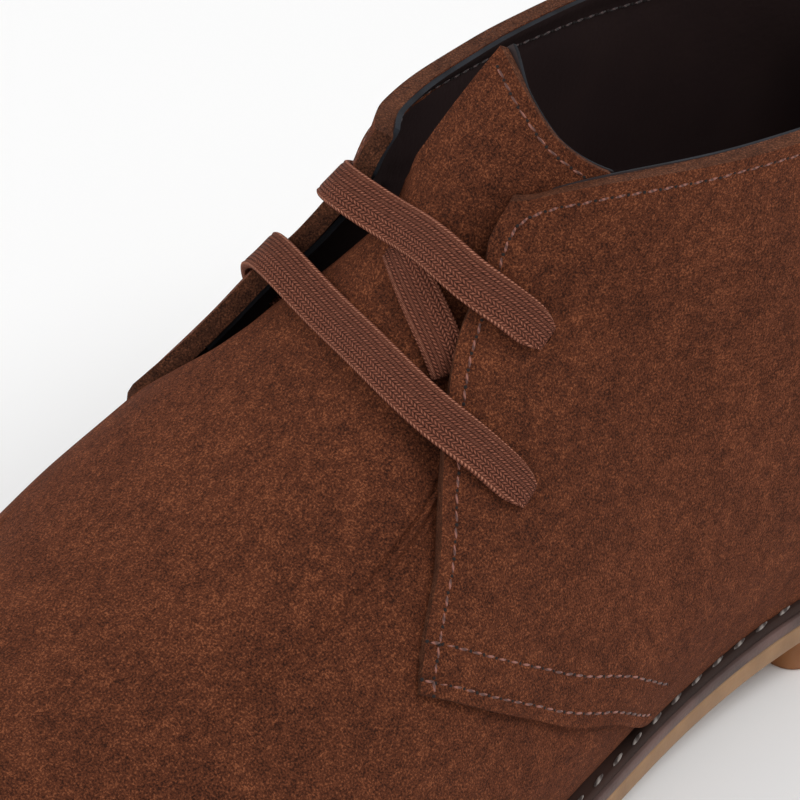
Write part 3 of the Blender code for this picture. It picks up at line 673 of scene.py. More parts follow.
class Shader:
    """A small helper that adds and links nodes in a tree."""

    def __init__(self, tree):
        self.tree = tree
        self.nodes = tree.nodes
        self.links = tree.links

    def add(self, kind, **values):
        node = self.nodes.new(kind)
        for name, value in values.items():
            setattr(node, name, value)
        return node

    def feed(self, target, value):
        """Links a socket, or sets a plain value."""
        if isinstance(value, bpy.types.NodeSocket):
            self.links.new(value, target)
        else:
            target.default_value = value

    def math(self, operation, *values, clamp=False):
        node = self.add("ShaderNodeMath", operation=operation, use_clamp=clamp)
        for socket, value in zip(node.inputs, values):
            self.feed(socket, value)
        return node.outputs[0]

    def times(self, first, second):
        return self.math("MULTIPLY", first, second)

    def plus(self, first, second, clamp=False):
        return self.math("ADD", first, second, clamp=clamp)

    def mix(self, share, first, second):
        node = self.add("ShaderNodeMix", data_type="RGBA", blend_type="MIX")
        self.feed(node.inputs["Factor"], share)
        self.feed(node.inputs["A"], first)
        self.feed(node.inputs["B"], second)
        return node.outputs["Result"]

    def noise(self, place, scale, detail=2.0, roughness=0.5, distortion=0.0):
        node = self.add("ShaderNodeTexNoise")
        self.feed(node.inputs["Vector"], place)
        self.feed(node.inputs["Scale"], scale)
        node.inputs["Detail"].default_value = detail
        node.inputs["Roughness"].default_value = roughness
        node.inputs["Distortion"].default_value = distortion
        return node.outputs["Fac"]

    def ramp(self, value, low, high):
        """Maps low..high to 0..1."""
        node = self.add("ShaderNodeMapRange", interpolation_type="SMOOTHSTEP")
        self.feed(node.inputs["Value"], value)
        node.inputs["From Min"].default_value = low
        node.inputs["From Max"].default_value = high
        return node.outputs["Result"]

    def bump(self, height, distance, strength=1.0):
        node = self.add("ShaderNodeBump")
        node.inputs["Strength"].default_value = strength
        node.inputs["Distance"].default_value = distance
        self.feed(node.inputs["Height"], height)
        return node.outputs["Normal"]


def linear(colour):
    """A linear colour from sRGB channels of 0 to 255."""
    return tuple(((channel / 255 + 0.055) / 1.055) ** 2.4 for channel in colour) + (1.0,)


def new_group(name, inputs, outputs):
    """A shader node group with its named sockets; inputs carry their defaults."""
    tree = bpy.data.node_groups.new(name, "ShaderNodeTree")
    for label, kind, default in inputs:
        socket = tree.interface.new_socket(label, in_out="INPUT", socket_type=kind)
        if default is not None:
            socket.default_value = default
    for label, kind in outputs:
        tree.interface.new_socket(label, in_out="OUTPUT", socket_type=kind)
    build = Shader(tree)
    entry = build.add("NodeGroupInput")
    leave = build.add("NodeGroupOutput")
    return build, entry.outputs, leave.inputs


def nap_group():
    """Suede's nap: fine flecks on brushed patches, as a shade from dark to light and a height."""
    build, given, put = new_group(
        "suede nap",
        [("Vector", "NodeSocketVector", None), ("Fleck Scale", "NodeSocketFloat", FLECK_SCALE),
         ("Patch Scale", "NodeSocketFloat", 55.0), ("Patch Weight", "NodeSocketFloat", 0.10)],
        [("Shade", "NodeSocketFloat"), ("Height", "NodeSocketFloat")])
    place = given["Vector"]
    fine = build.noise(place, given["Fleck Scale"], detail=4.0, roughness=0.72)
    stretched = build.add("ShaderNodeVectorMath", operation="MULTIPLY")
    build.feed(stretched.inputs[0], place)
    stretched.inputs[1].default_value = (1.0, 0.45, 0.7)
    medium_scale = build.times(given["Fleck Scale"], 0.32)
    medium = build.noise(stretched.outputs[0], medium_scale, detail=3.0, roughness=0.6)
    broad = build.noise(place, build.times(given["Fleck Scale"], 0.10), detail=3.0, roughness=0.55)
    patch = build.noise(place, given["Patch Scale"], detail=2.5, roughness=0.5, distortion=1.2)
    fine = build.ramp(fine, 0.30, 0.72)
    medium = build.ramp(medium, 0.28, 0.72)
    broad = build.ramp(broad, 0.30, 0.70)
    patch = build.ramp(patch, 0.30, 0.70)
    flecks = build.plus(build.times(fine, 0.72), build.times(medium, 0.20))
    flecks = build.plus(flecks, build.times(broad, 0.08))
    centred = build.math("SUBTRACT", patch, 0.5)
    shade = build.plus(flecks, build.times(centred, given["Patch Weight"]), clamp=True)
    build.feed(put["Shade"], shade)
    height = build.plus(build.times(fine, 0.55), build.times(medium, 0.45))
    build.feed(put["Height"], height)
    return build.tree


def grain_group():
    """Smooth leather's grain: fine cells and soft wrinkles, as a height, and slow wear as a mask."""
    build, given, put = new_group(
        "leather grain",
        [("Vector", "NodeSocketVector", None), ("Scale", "NodeSocketFloat", GRAIN_SCALE)],
        [("Height", "NodeSocketFloat"), ("Wear", "NodeSocketFloat")])
    cells = build.add("ShaderNodeTexVoronoi", feature="SMOOTH_F1")
    build.feed(cells.inputs["Vector"], given["Vector"])
    build.feed(cells.inputs["Scale"], given["Scale"])
    cells.inputs["Smoothness"].default_value = 0.6
    wrinkle = build.noise(given["Vector"], build.times(given["Scale"], 0.14), detail=3.0, distortion=1.0)
    height = build.plus(build.times(cells.outputs["Distance"], 0.5), build.times(wrinkle, 0.6))
    build.feed(put["Height"], height)
    wear = build.noise(given["Vector"], build.times(given["Scale"], 0.05), detail=3.0)
    build.feed(put["Wear"], build.ramp(wear, 0.35, 0.70))
    return build.tree


def start_material(name, roughness):
    made = bpy.data.materials.new(name)
    made.use_nodes = True
    build = Shader(made.node_tree)
    shader = build.nodes["Principled BSDF"]
    shader.inputs["Roughness"].default_value = roughness
    place = build.add("ShaderNodeTexCoord").outputs["Object"]
    return made, build, shader, place


def add_group(build, tree, place, **values):
    node = build.add("ShaderNodeGroup")
    node.node_tree = tree
    build.feed(node.inputs["Vector"], place)
    for name, value in values.items():
        node.inputs[name].default_value = value
    return node.outputs


def suede_material(name, nap, dark, middle, light, sheen):
    """Brushed suede in three tones."""
    made, build, shader, place = start_material(name, 0.92)
    field = add_group(build, nap, place)
    low = build.mix(build.ramp(field["Shade"], 0.10, 0.52), linear(dark), linear(middle))
    tone = build.mix(build.ramp(field["Shade"], 0.50, 0.92), low, linear(light))
    build.feed(shader.inputs["Base Color"], tone)
    build.feed(shader.inputs["Normal"], build.bump(field["Height"], NAP_DEPTH, strength=0.75))
    shader.inputs["Specular IOR Level"].default_value = 0.12
    shader.inputs["Sheen Weight"].default_value = sheen
    shader.inputs["Sheen Roughness"].default_value = 0.55
    shader.inputs["Sheen Tint"].default_value = linear((190, 104, 66))
    return made


def leather_material(name, grain, colour, worn, roughness, scale=GRAIN_SCALE):
    """Smooth leather with a fine grain."""
    made, build, shader, place = start_material(name, roughness)
    field = add_group(build, grain, place, Scale=scale)
    build.feed(shader.inputs["Base Color"], build.mix(field["Wear"], linear(colour), linear(worn)))
    build.feed(shader.inputs["Normal"], build.bump(field["Height"], GRAIN_DEPTH, strength=0.8))
    shader.inputs["Specular IOR Level"].default_value = 0.2
    return made


def thread_material(name, colour, shadow, twist=PLY_SCALE):
    """Twisted sewing thread."""
    made, build, shader, place = start_material(name, 0.7)
    ply = build.add("ShaderNodeTexWave", wave_type="BANDS", bands_direction="DIAGONAL")
    build.feed(ply.inputs["Vector"], place)
    ply.inputs["Scale"].default_value = twist
    ply.inputs["Distortion"].default_value = 1.5
    tone = build.noise(place, 600.0, detail=2.0)
    shade = build.plus(build.times(ply.outputs["Fac"], 0.8), build.times(tone, 0.3))
    shade = build.ramp(shade, 0.2, 0.9)
    build.feed(shader.inputs["Base Color"], build.mix(shade, linear(shadow), linear(colour)))
    build.feed(shader.inputs["Normal"], build.bump(ply.outputs["Fac"], 0.0002, strength=0.8))
    shader.inputs["Sheen Weight"].default_value = 0.2
    return made


def lace_material(name, colour, shadow, light):
    """Flat knitted lace: slanted strokes in columns, from the piece's own UV map in millimetres."""
    made, build, shader, place = start_material(name, 0.85)
    coordinate = build.add("ShaderNodeUVMap", uv_map="weave").outputs["UV"]
    split = build.add("ShaderNodeSeparateXYZ")
    build.feed(split.inputs[0], coordinate)
    along, across = split.outputs["X"], split.outputs["Y"]
    column = build.times(across, LACE_COLUMNS)
    inside = build.math("FRACT", column)
    odd = build.math("MODULO", build.math("FLOOR", column), 2.0)
    slant = build.times(build.math("SUBTRACT", inside, 0.5),
                        build.math("SUBTRACT", build.times(odd, 2.0), 1.0))
    stroke = build.plus(build.times(along, LACE_STROKES), build.times(slant, LACE_SLANT))
    stroke = build.math("FRACT", stroke)
    bead = build.math("SINE", build.times(stroke, math.pi))
    rib = build.math("SINE", build.times(inside, math.pi))
    height = build.times(build.math("POWER", bead, 0.7), build.math("POWER", rib, 0.6))
    fuzz = build.noise(place, 2200.0, detail=2.0)
    border = build.add("ShaderNodeAttribute", attribute_name="border").outputs["Fac"]
    # Painted light: the knit's raised strokes and the marked borders are painted lighter, towards the light
    # tone, and the hollows between the strokes darker, towards the shadow tone. The fuzz is the yarn's own
    # random tone.
    shade = build.plus(build.times(height, 0.50), build.times(fuzz, 0.45))
    shade = build.plus(shade, build.times(border, 0.25))
    low = build.mix(build.ramp(shade, 0.15, 0.62), linear(shadow), linear(colour))
    build.feed(shader.inputs["Base Color"], build.mix(build.ramp(shade, 0.60, 1.05), low, linear(light)))
    full = build.plus(height, build.times(fuzz, 0.25))
    build.feed(shader.inputs["Normal"], build.bump(full, 0.0005, strength=1.0))
    shader.inputs["Specular IOR Level"].default_value = 0.10
    return made


def rubber_material(name, colour, deep, roughness, glow):
    """Sole rubber: slightly mottled, with light passing a little way into it."""
    made, build, shader, place = start_material(name, roughness)
    cloud = build.noise(place, 60.0, detail=3.0, roughness=0.6)
    speck = build.noise(place, 900.0, detail=2.0)
    tone = build.mix(build.ramp(cloud, 0.3, 0.7), linear(deep), linear(colour))
    build.feed(shader.inputs["Base Color"], build.mix(build.times(speck, 0.18), tone, linear(deep)))
    build.feed(shader.inputs["Normal"], build.bump(speck, 0.00008, strength=0.6))
    shader.inputs["Subsurface Weight"].default_value = glow
    shader.inputs["Subsurface Radius"].default_value = (0.004, 0.002, 0.001)
    shader.inputs["Subsurface Scale"].default_value = 1.0
    return made


def dark_material(name, colour):
    """The shade inside a needle hole."""
    made, build, shader, place = start_material(name, 0.95)
    tone = build.noise(place, 400.0)
    deeper = tuple(channel // 2 for channel in colour)
    build.feed(shader.inputs["Base Color"], build.mix(tone, linear(colour), linear(deeper)))
    return made


# Rows of stitches

STITCH_SLANT = 8.0
# Length, width and thickness of the dark spot of painted shade at a needle hole, and the width and thickness
# of the welt's thread
NEEDLE_HOLE = (0.00080, 0.00080, 0.00035)
WELT_THREAD = (0.0008, 0.0005)


def stitch_tree():
    """Geometry nodes that lay one stitch on each point of a row, turned by its along and up attributes."""
    tree = bpy.data.node_groups.new("stitch row", "GeometryNodeTree")
    face = tree.interface
    face.new_socket("Geometry", in_out="INPUT", socket_type="NodeSocketGeometry")
    for label, default in (("Length", 0.0021), ("Width", 0.0008), ("Thickness", 0.0006)):
        socket = face.new_socket(label, in_out="INPUT", socket_type="NodeSocketFloat")
        socket.default_value = default
        socket.subtype = "DISTANCE"
    face.new_socket("Finish", in_out="INPUT", socket_type="NodeSocketMaterial")
    face.new_socket("Geometry", in_out="OUTPUT", socket_type="NodeSocketGeometry")
    nodes, links = tree.nodes, tree.links
    entry = nodes.new("NodeGroupInput")
    leave = nodes.new("NodeGroupOutput")
    ball = nodes.new("GeometryNodeMeshUVSphere")
    ball.inputs["Segments"].default_value = 10
    ball.inputs["Rings"].default_value = 6
    ball.inputs["Radius"].default_value = 0.5
    size = nodes.new("ShaderNodeCombineXYZ")
    for label, axis in (("Length", "X"), ("Width", "Y"), ("Thickness", "Z")):
        links.new(entry.outputs[label], size.inputs[axis])
    turn = nodes.new("FunctionNodeAxesToRotation")
    turn.primary_axis = "X"
    turn.secondary_axis = "Z"
    for label, kind in (("along", "Primary Axis"), ("up", "Secondary Axis")):
        read = nodes.new("GeometryNodeInputNamedAttribute")
        read.data_type = "FLOAT_VECTOR"
        read.inputs["Name"].default_value = label
        links.new(read.outputs["Attribute"], turn.inputs[kind])
    lay = nodes.new("GeometryNodeInstanceOnPoints")
    links.new(entry.outputs["Geometry"], lay.inputs["Points"])
    links.new(ball.outputs["Mesh"], lay.inputs["Instance"])
    links.new(turn.outputs["Rotation"], lay.inputs["Rotation"])
    links.new(size.outputs["Vector"], lay.inputs["Scale"])
    real = nodes.new("GeometryNodeRealizeInstances")
    links.new(lay.outputs["Instances"], real.inputs["Geometry"])
    smooth = nodes.new("GeometryNodeSetShadeSmooth")
    links.new(real.outputs["Geometry"], smooth.inputs["Geometry"])
    dress = nodes.new("GeometryNodeSetMaterial")
    links.new(smooth.outputs["Geometry"], dress.inputs["Geometry"])
    links.new(entry.outputs["Finish"], dress.inputs["Material"])
    links.new(dress.outputs["Geometry"], leave.inputs["Geometry"])
    return tree


def lay_stitches(name, tree, rows, finish, length, width, thickness):
    """One mesh of all the stitches of some rows; a row is its points, directions and normals."""
    points, along, up = (np.concatenate(parts) for parts in zip(*rows))
    data = bpy.data.meshes.new(name)
    data.from_pydata([tuple(point) for point in points], [], [])
    for label, values in (("along", along), ("up", up)):
        attribute = data.attributes.new(label, "FLOAT_VECTOR", "POINT")
        attribute.data.foreach_set("vector", np.asarray(values, np.float32).ravel())
    item = bpy.data.objects.new(name, data)
    bpy.context.scene.collection.objects.link(item)
    modifier = item.modifiers.new("stitches", "NODES")
    modifier.node_group = tree
    given = {"Length": length, "Width": width, "Thickness": thickness, "Finish": finish}
    for socket in tree.interface.items_tree:
        if socket.in_out == "INPUT" and socket.name in given:
            modifier[socket.identifier] = given[socket.name]
    settle(item)
    item.data.materials.clear()
    item.data.materials.append(finish)
    return item


def stitch_row(line, normals):
    """Stitches between the holes of a line: their middles, directions and normals, a little slanted."""
    middle = (line[:-1] + line[1:]) / 2
    along = line[1:] - line[:-1]
    along /= np.linalg.norm(along, axis=1)[:, None]
    up = normals[:-1] + normals[1:]
    up /= np.linalg.norm(up, axis=1)[:, None]
    turn = math.radians(STITCH_SLANT)
    return middle, along * math.cos(turn) + np.cross(up, along) * math.sin(turn), up


def hole_row(line, normals):
    along = np.gradient(line, axis=0)
    return line, along / np.linalg.norm(along, axis=1)[:, None], normals


# Settings


def length_setting(name, description, default):
    return bpy.props.FloatProperty(name=name, description=description, default=default, unit="LENGTH")


class BootLeather(bpy.types.PropertyGroup):
    suede_wall: length_setting("Suede wall", "Thickness of the quarters' suede", 0.0023)
    collar_wall: length_setting("Collar wall", "Thickness of the suede at its rolled edges", 0.0036)
    collar_roll: length_setting("Collar roll", "How far below the collar it is thicker", 0.0060)
    lining_wall: length_setting("Lining wall", "Thickness of the lining", 0.0010)
    lining_row: length_setting("Lining row", "Distance of the lining's row from the collar", 0.0060)
    vamp_wall: length_setting("Vamp wall", "Thickness of the vamp and tongue", VAMP_WALL)
    edge_rounding: length_setting("Edge rounding", "Rounding of the cut edges", 0.00045)
    eyelet_radius: length_setting("Eyelet radius", "Radius of the punched lace holes", 0.0019)


class BootThread(bpy.types.PropertyGroup):
    pitch: length_setting("Pitch", "Distance between needle holes", 0.00295)
    length: length_setting("Length", "Visible length of a stitch", 0.0022)
    width: length_setting("Width", "Width of the thread", 0.00056)
    edge_inset: length_setting("Edge inset", "Distance of the rows from the edge", 0.0027)
    second_inset: length_setting("Second row", "Distance of the second row from the foot edge", 0.0090)
    tongue_inset: length_setting("Tongue inset", "Distance of the tongue's row from its top", 0.0024)
    sunk: length_setting("Sunk", "How deep the thread lies in the suede", 0.00010)
    groove: length_setting("Groove", "How deep a row pulls the suede in", 0.00035)
    welt_pitch: length_setting("Welt pitch", "Distance between the welt's holes", 0.0072)
    welt_length: length_setting("Welt stitch", "Visible length of a welt stitch", 0.0040)


class BootLace(bpy.types.PropertyGroup):
    width: length_setting("Width", "Width of the flat lace", 0.0080)
    thickness: length_setting("Thickness", "Thickness of the lace", 0.0020)
    run_width: length_setting("Run width", "Width of the run between the bars", 0.0076)


def colour_setting(name, description, red, green, blue):
    return bpy.props.IntVectorProperty(name=name, description=description, default=(red, green, blue),
                                       min=0, max=255, size=3)


class BootColours(bpy.types.PropertyGroup):
    suede_dark: colour_setting("Suede, dark", "Between the fibres, sRGB", 38, 18, 10)
    suede_middle: colour_setting("Suede", "Body of the suede, sRGB", 83, 43, 26)
    suede_light: colour_setting("Suede, light", "Brushed flecks, sRGB", 134, 78, 50)
    thread: colour_setting("Thread", "Seam thread, sRGB", 136, 82, 66)
    lace: colour_setting("Lace", "Lace yarn, sRGB", 126, 74, 57)
    lining: colour_setting("Lining", "Smooth lining leather, sRGB", 38, 27, 27)
    charcoal: colour_setting("Lining edge", "Cut edge of the lining, sRGB", 38, 40, 45)
    welt: colour_setting("Welt", "Dark welt, sRGB", 40, 26, 21)
    welt_thread: colour_setting("Welt thread", "Stitches on the welt, sRGB", 134, 125, 119)
    midsole: colour_setting("Midsole", "Edge band, sRGB", 100, 78, 73)
    outsole: colour_setting("Outsole", "Tan sole, sRGB", 150, 114, 78)
    heel: colour_setting("Heel", "Amber heel, sRGB", 158, 100, 48)


class BootSettings(bpy.types.PropertyGroup):
    leather: bpy.props.PointerProperty(type=BootLeather, name="Leather", description="Walls and edges")
    thread: bpy.props.PointerProperty(type=BootThread, name="Thread", description="Rows of stitches")
    lace: bpy.props.PointerProperty(type=BootLace, name="Lace", description="The flat lace")
    colours: bpy.props.PointerProperty(type=BootColours, name="Colours", description="Finishes")


MADE = {}


def finishes():
    """The materials, made once."""
    if "finishes" in MADE:
        return MADE["finishes"]
    colour = bpy.context.scene.boot.colours
    nap, grain = nap_group(), grain_group()
    dark, middle, light = colour.suede_dark, colour.suede_middle, colour.suede_light
    MADE["finishes"] = {
        "suede": suede_material("suede", nap, dark, middle, light, sheen=0.16),
        "suede_edge": suede_material(
            "suede cut edge", nap, (34, 19, 13), (74, 44, 30), (116, 72, 50), sheen=0.1),
        "lining": leather_material("lining leather", grain, colour.lining, (42, 30, 29), 0.55),
        "charcoal": leather_material("lining edge", grain, colour.charcoal, (22, 22, 25), 0.9, scale=1800.0),
        "thread": thread_material("seam thread", colour.thread, (78, 44, 35)),
        "lining_thread": thread_material("lining thread", (66, 47, 46), (30, 20, 20)),
        "hole": dark_material("needle hole", (26, 14, 11)),
        "lace": lace_material("flat lace", colour.lace, (44, 21, 15), (196, 134, 108)),
        "welt": leather_material("welt leather", grain, colour.welt, (50, 32, 26), 0.75),
        "welt_thread": thread_material("welt thread", colour.welt_thread, (58, 46, 41), WELT_PLY_SCALE),
        "midsole": leather_material("midsole edge", grain, colour.midsole, (74, 60, 57), 0.45, scale=1400.0),
        "outsole": rubber_material("outsole rubber", colour.outsole, (122, 90, 60), 0.5, 0.12),
        "heel": rubber_material("heel rubber", colour.heel, (124, 74, 34), 0.45, 0.18),
    }
    return MADE["finishes"]


# Upper


SHEET_GAP = 0.00005
# Where the tongue's row of stitches starts and ends, as shares from the lateral side to the medial
TONGUE_ROW = (TONGUE_EDGE / 2 + 0.02, 0.492)
# The lining: its first share along a quarter, and its top edge as a share of the quarter's
LINING_START = 0.10
LINING_TOP = 0.95
LINING_RISE = 0.035
LINING_ROUNDING = 0.6
LINING_HOLE = 1.3
RISE_START = 0.60
RISE_SHARE = 0.20
# The shares up a quarter over which the facing's rolled edge thickens the suede
ROLL_START = 0.88
ROLL_SHARE = 0.07
# The foot's height below which its rows of stitches stop, behind the seam's end at the sole
FOOT_ROW_END = 0.07
# The foot's first row as a share of the other edges' inset
FOOT_INSET_SHARE = 0.9
# The stitches left off at that end, where a row would curl along the sole
FOOT_CUT = 3


def upper_materials(item, *names):
    for name in names:
        item.data.materials.append(finishes()[name])


def front_end(height, side):
    """The station where the sheet of vamp and tongue ends."""
    table = np.array(FRONT_END).T
    heights = np.append(table[0], TONGUE_EDGE)
    hidden = [np.interp(height, heights, np.append(column, quarter.tongue_top(TONGUE_EDGE)))
              for column, quarter in zip(table[1:], (LATERAL, MEDIAL))]
    top = both_sides(side, height, "tongue_top")
    return np.where(height < TONGUE_EDGE, np.where(side > 0, *hidden), top)


def front_sink(station, height, side):
    """How far the sheet lies below the last: as far under the quarters as they need."""
    facing = both_sides(side, station, "facing")
    beside = ease((facing + TONGUE_EDGE_RAMP - height) / TONGUE_EDGE_RAMP)
    tucked = ease((facing - height) / TONGUE_LAP)
    covered = ease((height - both_sides(side, station, "foot")) / COVER_SHARE)
    covered = covered * ease((station - SINK_START) / SINK_SHARE)
    return ((QUARTER_WALL - QUARTER_STEP + TONGUE_CLEARANCE) * beside + TONGUE_TUCK * tucked) * covered


def front_point(along, across):
    """A place on the vamp and tongue at shares from the toe to its end and from lateral to medial."""
    height, side = across_throat(across)
    station = front_end(height, side) * along
    return on_last(station, height, side, -front_sink(station, height, side))


def tongue_lining_point(along, across, depth):
    """A place on the tongue's lining at shares from its base to its top and from lateral to medial."""
    share = 2 * across - 1
    side = np.where(share < 0, 1.0, -1.0)
    height = 1 - (1 - TONGUE_EDGE) * np.abs(share)
    fold = ease((height - TONGUE_FOLD_HEIGHT) / (1 - TONGUE_FOLD_HEIGHT))
    top = front_end(height, side) + TONGUE_FOLD * fold
    station = TONGUE_LINING_START + (top - TONGUE_LINING_START) * along
    return on_last(station, height, side, -front_sink(station, height, side) - depth)


def build_front(leather, thread):
    """The vamp that runs on into the tongue, the tongue's lining and the row along its top."""
    item = sheet_object("vamp_and_tongue", front_point, 240, 151)
    weld(item)
    tree = surface_tree(item)
    share = np.linspace(*TONGUE_ROW, 200)
    line = inset_line(front_point(np.ones(200), share), tree, thread.tongue_inset, thread.pitch)
    press_along(item, line[0], thread.groove)
    MADE["tongue rows"] = [laid_on(surface_tree(item), line[0], lift=-thread.sunk)]
    upper_materials(item, "suede", "suede_edge")
    give_wall(item, leather.vamp_wall, leather.edge_rounding, rim_slot=1)
    finish_piece(item, "suede", "upper", "tongue")
    depth = leather.vamp_wall + SHEET_GAP
    lining = sheet_object(
        "tongue_lining", lambda along, across: tongue_lining_point(along, across, depth), 90, 60)
    weld(lining)
    upper_materials(lining, "lining", "charcoal")
    give_wall(lining, leather.lining_wall, leather.edge_rounding * LINING_ROUNDING, rim_slot=1)
    return finish_piece(lining, "insole", "tongue")


def quarter_edges(quarter):
    """The collar, the facing and the foot edge of a quarter, each as points on its outer face."""
    share = np.linspace(0, 1, 300)
    collar = quarter.point(np.ones(300), share)
    facing = quarter.point(1 - share, np.ones(300))
    foot = quarter.point(share, np.zeros(300))
    station = quarter.corner + (1 - quarter.corner) * share
    return collar, facing, foot[quarter.foot(station) > FOOT_ROW_END]


def inward_line(quarter, edge, tree, distance, spacing):
    return inset_line(edge if quarter.side > 0 else edge[::-1], tree, distance, spacing)


def quarter_length(quarter):
    """The length of a quarter's side for one share along it, near the collar."""
    step = 0.1
    ends = [quarter.point(np.float64(along), np.float64(0.5)) for along in (1 - step, 1.0)]
    return np.linalg.norm(ends[1] - ends[0]) / step


def suede_depth(quarter, along, across, leather):
    """The suede's thickness at shares of a quarter: more at the rolled collar and facing."""
    away = (1 - along) * quarter_length(quarter)
    roll = np.maximum(ease(1 - away / leather.collar_roll), ease((across - ROLL_START) / ROLL_SHARE))
    return leather.suede_wall + (leather.collar_wall - leather.suede_wall) * roll


def build_quarter(name, quarter, leather, thread):
    """A quarter's suede with its grooves, walls and eyelets, and its rows of stitches."""
    item = sheet_object(name, lambda along, across: quarter.point(along, across), 170, 180,
                        flip=quarter.side < 0)
    weld(item)
    tree = surface_tree(item)
    collar, facing, foot = quarter_edges(quarter)
    border = np.concatenate([collar, facing[1:]])
    rows = [inward_line(quarter, border, tree, thread.edge_inset, thread.pitch),
            inward_line(quarter, foot, tree, thread.edge_inset * FOOT_INSET_SHARE, thread.pitch),
            inward_line(quarter, foot, tree, thread.second_inset, thread.pitch)]
    kept = slice(None, -FOOT_CUT) if quarter.side > 0 else slice(FOOT_CUT, None)
    rows[1:] = [(line[kept], normals[kept]) for line, normals in rows[1:]]
    for line, _ in rows:
        press_along(item, line, thread.groove)
    tree = surface_tree(item)
    MADE[name + " rows"] = [laid_on(tree, line, lift=-thread.sunk) for line, _ in rows]

    def lining_point(along, across, lift=0.0):
        along = LINING_START + (1 - LINING_START) * along
        across = across * (LINING_TOP + LINING_RISE * ease((along - RISE_START) / RISE_SHARE))
        depth = suede_depth(quarter, along, across, leather) + SHEET_GAP
        return quarter.point(along, across, lift=lift - depth)

    lining = sheet_object(name + "_lining", lining_point, 110, 110, flip=quarter.side < 0)
    weld(lining)
    for eyelet in quarter.eyelets:
        station, height = (np.float64(value) for value in eyelet)
        middle = on_last(station, height, quarter.side, quarter.lift(station, height))
        normal = last_normal(station, height, np.float64(quarter.side))
        cut_hole(item, middle, normal, leather.eyelet_radius)
        cut_hole(lining, middle - normal * leather.suede_wall, normal, leather.eyelet_radius * LINING_HOLE)
    points = get_vertices(item)
    away = np.concatenate([np.linalg.norm(chunk[:, None] - border[None, ::3], axis=2).min(axis=1)
                           for chunk in np.array_split(points, 40)])
    full = leather.collar_wall
    shares = (leather.suede_wall + (full - leather.suede_wall) * ease(1 - away / leather.collar_roll)) / full
    upper_materials(item, "suede", "suede_edge")
    give_wall(item, full, leather.edge_rounding, rim_slot=1, shares=shares)
    upper_materials(lining, "lining", "charcoal")
    give_wall(lining, leather.lining_wall, leather.edge_rounding * LINING_ROUNDING, rim_slot=1)
    row = 1 - leather.lining_row / quarter_length(quarter)
    inner = lining_point(np.full(300, row), np.linspace(0.05, 0.96, 300), lift=-leather.lining_wall)
    inner = even_steps(inner, int(np.linalg.norm(np.diff(inner, axis=0), axis=1).sum() / thread.pitch))
    outward = last_normal(np.ones(len(inner)), np.linspace(0.05, 0.85, len(inner)), quarter.side)
    MADE[name + " lining rows"] = [(inner, -outward)]
    finish_piece(item, "suede", "upper")
    return finish_piece(lining, "insole", "upper")


class BOOT_OT_upper(bpy.types.Operator):
    """Makes the vamp with its tongue, both quarters and the lining."""

    bl_idname = "boot.upper"
    bl_label = "Upper"

    def execute(self, context):
        boot = context.scene.boot
        build_front(boot.leather, boot.thread)
        build_quarter("quarter_lateral", LATERAL, boot.leather, boot.thread)
        build_quarter("quarter_medial", MEDIAL, boot.leather, boot.thread)
        return {"FINISHED"}


class BOOT_OT_seams(bpy.types.Operator):
    """Lays the rows of stitches on the quarters, the lining and the tongue."""

    bl_idname = "boot.seams"
    bl_label = "Seams"

    def execute(self, context):
        thread = context.scene.boot.thread
        tree = MADE.setdefault("stitch tree", stitch_tree())
        for name in ("quarter_lateral", "quarter_medial", "tongue",
                     "quarter_lateral lining", "quarter_medial lining"):
            lines = MADE[name + " rows"]
            name = name.replace(" ", "_")
            finish = finishes()["lining_thread" if name.endswith("lining") else "thread"]
            stitches = lay_stitches(name + "_stitches", tree, [stitch_row(*line) for line in lines],
                                    finish, thread.length, thread.width, thread.width)
            # A dark spot of painted shade at each needle hole
            holes = lay_stitches(name + "_needle_holes", tree, [hole_row(*line) for line in lines],
                                 finishes()["hole"], *NEEDLE_HOLE)
            finish_piece(stitches, "suede")
            finish_piece(holes, "suede")
        return {"FINISHED"}


# Lace


# Half a bar, from the eyelet towards the facing's edge: share of the way, lift in mm at the hole or as a
# share of the lace's stand, and share of the full width
BAR_HALF = (
    # share, lift in mm, stand, width
    (-0.02, -3.0, 0.00, 0.40),
    (-0.05, -0.4, 0.00, 0.50),
    (-0.01, 0.0, 0.60, 0.66),
    (0.06, 0.0, 0.98, 0.84),
    (0.13, 0.0, 1.00, 0.94),
    (0.26, 0.0, 1.00, 1.00),
    (0.60, 0.0, 1.00, 1.00),
    (1.00, 0.0, 1.00, 1.00),
)
# The stations where each bar crosses its facings' edges and, at BAR_TOP_HEIGHT, the ridge, upper bar first
BAR_CROSSINGS = ((0.765, 0.800), (0.545, 0.600))
BAR_TOPS = ((0.795, 0.800), (0.560, 0.580))
BAR_TOP_HEIGHT = 0.96
BAR_LAP = 0.008
# How much of the ridge's normal a bar takes on where it crosses a facing's edge
BAR_LEVEL = 1.5
BAR_STAND = 0.00115
BAR_RIDGE_LIFT = 0.0013
RUN_FLATNESS = 0.8
LACE_RUN = (
    # station, distance from the ridge (medial below 0), lift in mm
    (0.778, -0.060, -2.6),
    (0.762, -0.025, -1.0),
    (0.739, 0.011, 0.5),
    (0.687, 0.064, 0.9),
    (0.646, 0.109, 0.6),
    (0.619, 0.145, 0.0),
    (0.605, 0.165, -0.5),
)


